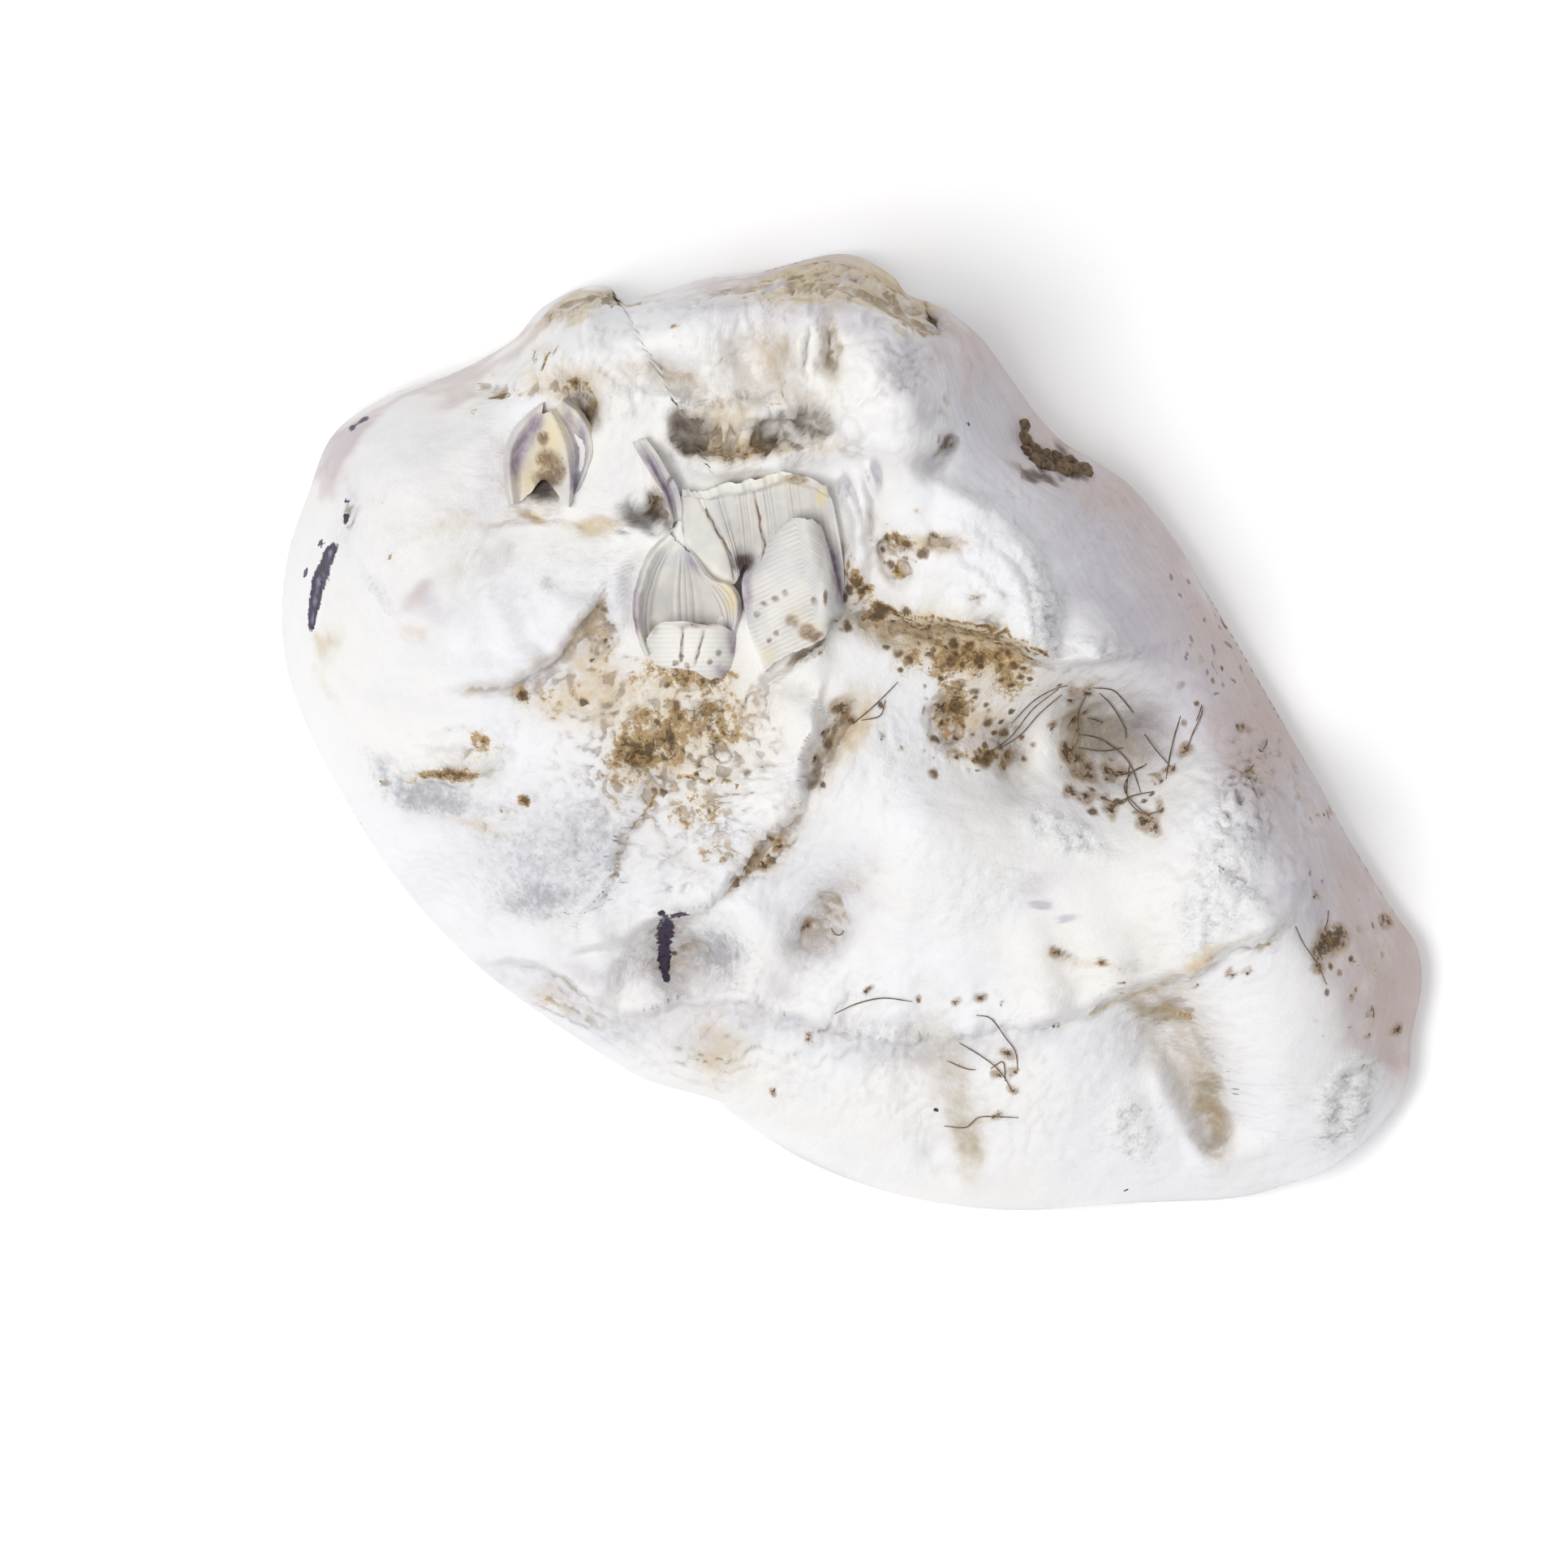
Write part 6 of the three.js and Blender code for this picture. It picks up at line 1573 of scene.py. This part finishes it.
class Finish:
    """A material under construction: each call adds one node and gives its output."""

    def __init__(self, name):
        self.material = bpy.data.materials.new(name)
        self.material.use_nodes = True
        self.tree = self.material.node_tree
        self.shader = self.tree.nodes["Principled BSDF"]
        self.places = self.tree.nodes.new("ShaderNodeTexCoord").outputs["Object"]

    def node(self, kind, inputs=(), **settings):
        made = self.tree.nodes.new(kind)
        for name, value in settings.items():
            setattr(made, name, value)
        for socket, value in dict(inputs).items():
            self.feed(made.inputs[socket], value)
        return made

    def feed(self, socket, value):
        if isinstance(value, bpy.types.NodeSocket):
            self.tree.links.new(value, socket)
        elif socket.type == "RGBA":
            socket.default_value = (*value, 1)
        else:
            socket.default_value = value

    def noise(self, size, detail=3.0, seed=0.0, roughness=0.55):
        """Soft noise from 0 to 1 with lumps about size millimetres across."""
        inputs = {"Vector": self.places, "W": seed, "Scale": 1 / (size * MM), "Detail": detail,
                  "Roughness": roughness}
        return self.node("ShaderNodeTexNoise", inputs, noise_dimensions="4D").outputs["Fac"]

    def stored(self, name):
        return self.node("ShaderNodeAttribute", attribute_name=name).outputs["Fac"]

    def math(self, operation, a, b=0.0):
        return self.node("ShaderNodeMath", {0: a, 1: b}, operation=operation).outputs[0]

    def times(self, a, b):
        return self.math("MULTIPLY", a, b)

    def plus(self, a, b):
        return self.math("ADD", a, b)

    def least(self, a, b):
        return self.math("MINIMUM", a, b)

    def fit(self, value, low, high, start=0.0, end=1.0):
        """Takes values from low to high softly to start and end."""
        inputs = {"Value": value, "From Min": low, "From Max": high, "To Min": start, "To Max": end}
        return self.node("ShaderNodeMapRange", inputs, interpolation_type="SMOOTHSTEP").outputs[0]

    def mix(self, share, a, b):
        return self.node("ShaderNodeMix", {0: share, 6: a, 7: b}, data_type="RGBA").outputs[2]

    def cover(self, under, share, strength, over):
        """Lays a colour over another, by a share times a strength."""
        return self.mix(self.times(share, strength), under, over)

    def frayed(self, value, grain, amount):
        """The value with its edge roughened by noise."""
        return self.plus(value, self.times(self.math("SUBTRACT", grain, 0.5), amount))

    def scatter(self, density, size, seed, low, high):
        """Specks that grow closer together with the density."""
        speckle = self.noise(size, 4, seed, 0.65)
        return self.fit(self.plus(speckle, self.times(density, 0.62)), low, high)

    def spots(self, density, size, seed, radius):
        """Round soft-edged spots: the denser, the more of the cells hold one."""
        wobble = self.noise(0.45 * size, 3, seed)
        cells = self.node("ShaderNodeTexVoronoi", {"Vector": self.places, "Scale": 1 / (size * MM)})
        away = self.plus(cells.outputs["Distance"], self.times(wobble, 0.5))
        spot = self.fit(away, radius + 0.25, radius + 0.08)
        chosen = self.node("ShaderNodeSeparateColor", {0: cells.outputs["Color"]}).outputs[0]
        return self.times(spot, self.fit(self.plus(chosen, density), 1.0, 1.1))

    def bump(self, height, distance, strength, below=None):
        inputs = {"Height": height, "Distance": distance * MM, "Strength": strength}
        if below is not None:
            inputs["Normal"] = below
        return self.node("ShaderNodeBump", inputs).outputs[0]

    def finish(self, piece, colour, roughness, normal, **constants):
        self.feed(self.shader.inputs["Base Color"], colour)
        self.feed(self.shader.inputs["Roughness"], roughness)
        if normal is not None:
            self.feed(self.shader.inputs["Normal"], normal)
        for name, value in constants.items():
            self.shader.inputs[name.replace("_", " ")].default_value = value
        piece.data.materials.clear()
        piece.data.materials.append(self.material)


# Tints of the shell: mask and colour, size of its patches, how blotchy they are
# Lilac and rose also darken the flank as painted shade
TINTS = [("lilac_and_flank_shade", 7, 0), ("rose_and_flank_shade", 7, 0), ("grey", 2.6, 0.45), ("olive", 2.4, 0.8), ("tan", 1.9, 0.85)]


def shell_white(f, colours):
    """The clean shell: two whites, cream patches and crumbly chalk, its crumbs painted lit and shaded.
    """
    colour = f.mix(f.fit(f.noise(14, 2, 1), 0.35, 0.65), colours.white, colours.warm_white)
    patches = f.fit(f.noise(4, 3, 2), 0.35, 0.65, 0.1, 0.7)
    colour = f.cover(colour, f.stored("cream"), patches, colours.cream)
    # Painted light and shade on the chalk: brighter crumbs and greyer pits
    crumbly = f.fit(f.noise(0.9, 8, 5, 0.75), 0.36, 0.5)
    crumbs = f.mix(crumbly, TONES["chalk in painted shade"], TONES["chalk"])
    return f.cover(colour, f.fit(f.stored("chalk"), 0.1, 0.6), 0.8, crumbs)


def shell_tints(f, colour, colours):
    """Colours of the layers, painted soft shadows and shade, edged growth lines on the flank and grey
    specks.
    """
    for number, (name, size, blotchy) in enumerate(TINTS):
        spread = f.stored(name)
        patches = f.noise(size, 8 if blotchy else 4, 10 + number, 0.66)
        if blotchy:
            share = f.fit(f.plus(patches, f.times(spread, 0.5)), 0.92 - blotchy * 0.62, 0.95)
        else:
            share = f.fit(patches, 0.1, 0.6)
        colour = f.cover(colour, share, f.fit(spread, 0, 0.5), getattr(colours, name))
    # Painted soft shadow, tan stain mixed with painted warm shade, and painted shade in the holes
    for number, name in enumerate(("shadow", "buff_stain_and_shade", "umber_shade")):
        uneven = f.fit(f.noise(1.4, 7, 18 + number, 0.7), 0.36, 0.62, 0.5, 1)
        colour = f.cover(colour, f.stored(name), uneven, TONES[name])
    lines = f.fit(f.math("SINE", f.times(f.stored("growth"), 4.6)), 0.4, 1)
    colour = f.cover(colour, lines, f.times(f.stored("flank"), 0.16), TONES["flank line"])
    grey = f.stored("grey")
    specks = f.fit(f.plus(f.noise(0.9, 8, 15, 0.8), f.times(grey, 0.3)), 0.56, 0.8)
    return f.cover(colour, specks, f.fit(grey, 0, 0.5, 0.03, 0.62), TONES["grey speck"])


def shell_dirt(f, colour, colours):
    """Grime in the hollows, dirt from its pale edge to its dark crumbs, and brown spots."""
    dirt = f.stored("dirt")
    grimy = f.times(f.fit(f.stored("hollow"), 0.02, 0.14), f.fit(f.noise(1.4, 4, 21), 0.3, 0.55))
    grime = f.mix(f.fit(f.noise(2.2, 3, 22), 0.4, 0.6), TONES["grime"], TONES["dark grime"])
    near_dirt = f.plus(f.plus(dirt, f.stored("tan")), 0.06)
    colour = f.cover(colour, grimy, f.least(near_dirt, 0.6), grime)
    brown = f.mix(f.fit(f.noise(1.3, 4, 31), 0.38, 0.62), colours.dirt, TONES["sandy dirt"])
    dark = f.mix(f.fit(f.noise(0.8, 3, 32), 0.4, 0.6), TONES["earth"], TONES["dark earth"])
    thickness = f.plus(f.noise(1.9, 10, 33, 0.76), f.times(dirt, 0.46))
    colour = f.cover(colour, f.fit(thickness, 0.68, 0.84), 0.6, TONES["dirt edge"])
    colour = f.cover(colour, f.fit(thickness, 0.765, 0.82), 0.85, brown)
    colour = f.cover(colour, f.fit(thickness, 0.85, 0.9), 0.85, dark)
    colour = f.cover(colour, f.scatter(dirt, 0.8, 34, 0.97, 1.03), 0.7, dark)
    spotted = f.stored("spotted")
    for size, radius, seed in ((1.7, 0.36, 35), (1.1, 0.34, 36)):
        colour = f.cover(colour, f.spots(spotted, size, seed, radius + 0.1), 0.5, brown)
        colour = f.cover(colour, f.spots(spotted, size, seed, radius), 0.85, dark)
    return colour


def shell_marks(f, colour, colours):
    """Stains round the tufts, painted shade in the deepest holes, fine flank marks and the dark bands
    with a painted highlight.
    """
    stain = f.stored("stain")
    halo = f.times(f.fit(stain, 0.15, 0.75), f.fit(f.noise(0.9, 4, 41), 0.3, 0.55, 0.4, 1))
    colour = f.cover(colour, halo, 0.72, TONES["halo"])
    colour = f.cover(colour, f.scatter(stain, 0.5, 42, 0.98, 1.1), 0.9, TONES["dark fleck"])
    depth = f.frayed(f.stored("shade"), f.noise(1.2, 4, 45), 0.7)
    colour = f.cover(colour, f.fit(depth, 0.2, 0.7), 0.72, TONES["hole"])
    colour = f.cover(colour, f.fit(depth, 0.6, 0.85), 0.7, TONES["deep hole"])
    colour = f.cover(colour, f.fit(f.stored("mark"), 0.3, 0.6), 0.75, TONES["flank mark"])
    ink = f.stored("ink")
    # A painted highlight lightens the middle of the dark bands
    core = f.times(f.fit(ink, 0.8, 1), f.fit(f.noise(1.2, 5, 53), 0.4, 0.56))
    highlighted = f.mix(core, colours.ink, TONES["painted ink highlight"])
    band = f.mix(f.fit(f.noise(0.8, 3, 52), 0.5, 0.62), highlighted, TONES["darkest ink"])
    return f.mix(f.fit(f.frayed(ink, f.noise(0.6, 6, 51, 0.7), 1.3), 0.4, 0.5), colour, band)


def shell_finish(piece, colours):
    """Worn chalky white with dirt in its hollows, grey and lilac tints, painted shade and a pearly
    inside.
    """
    f = Finish("worn shell")
    colour = shell_white(f, colours)
    for layer in (shell_tints, shell_dirt, shell_marks):
        colour = layer(f, colour, colours)
    inside, dirt, chalk = f.stored("inside"), f.stored("dirt"), f.stored("chalk")
    pearl = f.mix(f.fit(f.noise(9, 2, 61), 0.3, 0.7), TONES["pearl"], TONES["green pearl"])
    pearl = f.mix(f.fit(f.stored("scar"), 0.3, 0.7, 0, 0.8), pearl, TONES["scar"])
    colour = f.mix(inside, colour, pearl)
    dirty = f.times(f.least(f.plus(dirt, chalk), 1.0), 0.3)
    roughness = f.plus(f.fit(f.noise(3, 3, 71), 0.3, 0.7, 0.42, 0.62), dirty)
    roughness = f.math("SUBTRACT", roughness, f.times(inside, 0.3))
    grain = f.bump(f.noise(0.4, 6, 81, 0.78), 0.13, 0.62)
    crumbly = f.plus(f.plus(chalk, f.stored("grey")), 0.3)
    worn = f.least(f.plus(f.plus(dirt, f.stored("tan")), crumbly), 1.0)
    pocks = f.times(f.noise(1.1, 6, 82, 0.7), f.times(f.math("SUBTRACT", 1.0, inside), worn))
    f.finish(piece, colour, roughness, f.bump(pocks, 0.7, 0.6, grain), Specular_IOR_Level=0.35)


def barnacle_finish(pieces, colours):
    """Dull grey-white plate, violet and brown towards its edges, with painted light on its lit sides and
    painted shade in its hollows.
    """
    f = Finish("barnacle plate")
    colour = f.mix(f.fit(f.noise(2.5, 3, 1), 0.35, 0.65), colours.barnacle, TONES["warm plate"])
    lines = f.fit(f.math("SINE", f.times(f.stored("growth"), 15.0)), 0.1, 1)
    broken = f.fit(f.noise(1.6, 3, 3), 0.35, 0.65, 0.1, 0.42)
    colour = f.cover(colour, lines, broken, TONES["plate line"])
    # Painted light: the pale rim and the sides that face the light are whitened
    colour = f.cover(colour, f.stored("pale_and_lit"), 0.9, TONES["pale lit plate"])
    # Painted shade in the hollows of the plates and between their ribs
    colour = f.cover(colour, f.fit(f.stored("hollow"), 0.01, 0.08), 0.5, TONES["plate hollow shade"])
    colour = f.cover(colour, f.stored("cream"), 0.8, TONES["plate cream"])
    faded = f.fit(f.noise(0.7, 3, 4), 0.3, 0.6, 0.5, 1)
    colour = f.cover(colour, f.stored("violet"), faded, colours.violet)
    soil = f.stored("soil")
    smeared = f.times(f.fit(soil, 0.15, 0.6), f.fit(f.noise(0.6, 4, 8), 0.3, 0.6, 0.4, 0.85))
    crumbs = f.math("MAXIMUM", f.scatter(soil, 0.45, 5, 0.8, 0.98), smeared)
    brown = f.mix(f.noise(0.8, 2, 6), TONES["dark plate soil"], TONES["plate soil"])
    colour = f.cover(colour, crumbs, 0.85, brown)
    colour = f.cover(colour, f.stored("shade"), 0.9, TONES["plate shade"])
    grain = f.bump(f.noise(0.3, 4, 7), 0.04, 0.45)
    for piece in pieces:
        f.finish(piece, colour, 0.62, grain, Specular_IOR_Level=0.4)


def growth_finish(pieces, name, light, dark):
    """Dried matter: two browns in fine specks."""
    f = Finish(name)
    colour = f.mix(f.fit(f.noise(0.5, 3, 1), 0.4, 0.62), light, dark)
    grain = f.bump(f.noise(0.12, 3, 2), 0.03, 0.6)
    for piece in pieces:
        f.finish(piece, colour, 0.75, grain)


# The add-on

def colour_property(name, description, *screen_values):
    return FloatVectorProperty(name=name, description=description, default=tone(*screen_values),
                               subtype="COLOR", size=3, min=0, max=1)


class OysterSizes(bpy.types.PropertyGroup):
    face_points: IntProperty(
        name="Outer face", description="Points across the outer face", default=288, min=40, max=292)
    inside_points: IntProperty(
        name="Inside", description="Points across the hollow inside", default=88, min=20, max=100)
    thread_thickness: FloatProperty(
        name="Thread", description="Thickness of a dried thread", default=0.12 * MM, min=0.05 * MM,
        max=0.5 * MM, precision=5, unit="LENGTH")


class OysterColours(bpy.types.PropertyGroup):
    white: colour_property("White", "Cool white of the worn shell", 240, 240, 243)
    warm_white: colour_property("Warm white", "Warmer white of the worn shell", 241, 239, 236)
    cream: colour_property("Cream", "Yellowish parts of the shell", 240, 234, 220)
    tan: colour_property("Tan", "Stains round the dirt", 216, 194, 156)
    dirt: colour_property("Dirt", "Brown dirt in the hollows", 158, 128, 84)
    olive: colour_property("Olive", "Brownish green of the deep groove", 160, 146, 106)
    grey: colour_property("Grey", "Grey chalky layers", 208, 208, 214)
    # Lilac and rose also serve as painted shade on the outer flank
    lilac_and_flank_shade: colour_property("Lilac", "Lilac tint of the flank", 204, 198, 206)
    rose_and_flank_shade: colour_property("Rose", "Pinkish grey of the outer flank", 204, 188, 184)
    ink: colour_property("Ink", "Dark violet bands on the rim", 70, 58, 80)
    barnacle: colour_property("Barnacle", "Grey-white of the barnacle plates", 202, 201, 200)
    violet: colour_property("Violet", "Dull violet of the barnacle edges", 138, 122, 146)
    growth: colour_property("Growth", "Dried threads and clump", 126, 104, 80)
    tufts: colour_property("Tufts", "Dark dried tufts", 124, 98, 68)
    floor: FloatVectorProperty(
        name="Floor", description="Pale floor", default=(0.95, 0.95, 0.95), subtype="COLOR", size=3,
        min=0, max=1)


class OysterStudio(bpy.types.PropertyGroup):
    view_width: FloatProperty(
        name="View", description="Width that the camera sees", default=0.1404, min=0.05, unit="LENGTH")
    camera_height: FloatProperty(
        name="Camera height", description="Height of the camera", default=2.4, min=0.5, unit="LENGTH")
    key_power: FloatProperty(
        name="Key light", description="Power of the soft light", default=2.5, min=0, unit="POWER")
    sky: FloatProperty(name="Sky", description="Strength of the light all round", default=0.6, min=0)


def finished(piece, *nodes, slot=None):
    """Lets the piece ride on the object and stand for its solid, if it has one."""
    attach(piece, "root")
    if nodes:
        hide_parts(*nodes)
    return piece


class OYSTER_OT_shell(bpy.types.Operator):
    """Build the shell with its growth lines, chalk and dirt"""
    bl_idname = "oyster.shell"
    bl_label = "Shell"

    def execute(self, context):
        sizes = context.scene.oyster_sizes
        piece = shell_body(sizes.face_points, sizes.inside_points)
        paint_shell(piece)
        shell_finish(piece, context.scene.oyster_colours)
        lay_down(piece)
        set_smooth(piece)
        finished(piece, "shell", slot="shell")
        return {"FINISHED"}


# The solid that each barnacle piece stands for
BARNACLE_NODES = {
    "barnacle_large_left": "barnacle_large_wall",
    "barnacle_large_right": "barnacle_large_plate",
    "barnacle_cup": "barnacle_small_cup",
    "barnacle_lid": "barnacle_small_plate",
    "barnacle_peak": "barnacle_chevron",
}


class OYSTER_OT_barnacles(bpy.types.Operator):
    """Build the remains of the three barnacles"""
    bl_idname = "oyster.barnacles"
    bl_label = "Barnacles"

    def execute(self, context):
        wall = plate("barnacle_wall", WALL_RAILS, 150, 100, 0.05, sculpt_wall)
        wing = plate("barnacle_wing", WING_RAILS, 30, 80, 0.03, sculpt_wing)
        pieces = [
            join("barnacle_large_left", [wall, wing]),
            plate("barnacle_large_right", PLATE_RAILS, 90, 110, 0.05, sculpt_plate),
            plate("barnacle_cup", CUP_RAILS, 120, 90, 0.04, sculpt_cup),
            plate("barnacle_lid", SMALL_PLATE_RAILS, 90, 60, 0.03, sculpt_small_plate),
            plate("barnacle_peak", CHEVRON_RAILS, 110, 90, 0.05, sculpt_chevron),
        ]
        for piece in pieces:
            paint(piece, "hollow", hollowness(piece, 6) / MM)
            finished(piece, BARNACLE_NODES[piece.name], slot="barnacle")
        barnacle_finish(pieces, context.scene.oyster_colours)
        return {"FINISHED"}


class OYSTER_OT_growth(bpy.types.Operator):
    """Lay the dried threads, the tufts and the clump in the notch"""
    bl_idname = "oyster.growth"
    bl_label = "Dried growth"

    def execute(self, context):
        ground = Ground([bpy.data.objects[name] for name in ("oyster_shell", *BARNACLE_NODES)])
        thickness = context.scene.oyster_sizes.thread_thickness / MM
        threads = [thread(number, corners, thickness, ground) for number, corners in enumerate(THREADS)]
        strands = finished(join("dried_threads", threads))
        set_smooth(strands)
        crumbs = finished(tufts(ground))
        lumps = finished(clump(ground))
        colours = context.scene.oyster_colours
        growth_finish([strands, lumps], "dried growth", colours.growth, TONES["dark growth"])
        growth_finish([crumbs], "dark tufts", colours.tufts, TONES["dark tuft"])
        return {"FINISHED"}


# Stage: where the camera aims and the soft light hangs, in millimetres on and over the sheet
CAMERA_AIM = (-6.15, -4.44, 0)
KEY_PLACE = (-245, -80, 635)
KEY_SIZE = 0.3
FLOOR_SIZE = 4
FLOOR_GLOW = 0.1
SKY_COLOUR = (0.985, 0.985, 1.0, 1)
SENSOR_WIDTH = 36
FURTHEST_SEEN = 20


class OYSTER_OT_stage(bpy.types.Operator):
    """Set up the pale floor, the soft light and the camera"""
    bl_idname = "oyster.stage"
    bl_label = "Stage"

    def execute(self, context):
        scene = context.scene
        studio = scene.oyster_studio
        scene.view_settings.view_transform = "Standard"
        deselect()
        bpy.ops.mesh.primitive_plane_add(size=FLOOR_SIZE)
        floor = context.object
        floor.name = floor.data.name = "floor"
        f = Finish("pale floor")
        f.finish(floor, scene.oyster_colours.floor, 0.9, None, Emission_Strength=FLOOR_GLOW)
        f.shader.inputs["Emission Color"].default_value = (1, 1, 1, 1)
        world = bpy.data.worlds.new("studio")
        world.use_nodes = True
        background = world.node_tree.nodes["Background"].inputs
        background["Color"].default_value = SKY_COLOUR
        background["Strength"].default_value = studio.sky
        scene.world = world
        light = Vector(over_sheet(*KEY_PLACE))
        toward = (-light).to_track_quat("-Z", "Y").to_euler()
        bpy.ops.object.light_add(type="AREA", location=light, rotation=toward)
        key = context.object
        key.name = "key"
        key.data.size = KEY_SIZE
        key.data.energy = studio.key_power
        key.visible_camera = False
        x, y, _ = over_sheet(*CAMERA_AIM)
        bpy.ops.object.camera_add(location=(x, y, studio.camera_height), rotation=(0, 0, TURN))
        camera = context.object
        camera.name = "camera"
        camera.data.sensor_width = SENSOR_WIDTH
        camera.data.lens = SENSOR_WIDTH * studio.camera_height / studio.view_width
        camera.data.clip_end = FURTHEST_SEEN
        scene.camera = camera
        return {"FINISHED"}


class OYSTER_PT_panel(bpy.types.Panel):
    bl_idname = "OYSTER_PT_panel"
    bl_label = "Oyster"
    bl_space_type = "VIEW_3D"
    bl_region_type = "UI"
    bl_category = "Oyster"

    def draw(self, context):
        layout = self.layout
        for name in GROUPS:
            group = getattr(context.scene, name)
            box = layout.box()
            for setting in group.__annotations__:
                box.prop(group, setting)
        for step in STEPS:
            layout.operator(step.bl_idname)


GROUPS = {"oyster_sizes": OysterSizes, "oyster_colours": OysterColours, "oyster_studio": OysterStudio}
STEPS = (OYSTER_OT_shell, OYSTER_OT_barnacles, OYSTER_OT_growth, OYSTER_OT_stage)
CLASSES = (*GROUPS.values(), *STEPS, OYSTER_PT_panel)


def register():
    for made in CLASSES:
        bpy.utils.register_class(made)
    for name, group in GROUPS.items():
        setattr(bpy.types.Scene, name, PointerProperty(type=group))


def unregister():
    for name in GROUPS:
        delattr(bpy.types.Scene, name)
    for made in reversed(CLASSES):
        bpy.utils.unregister_class(made)


def main():
    register()
    bpy.ops.oyster.shell()
    bpy.ops.oyster.barnacles()
    bpy.ops.oyster.growth()
    bpy.ops.oyster.stage()


if __name__ == "__main__":
    main()
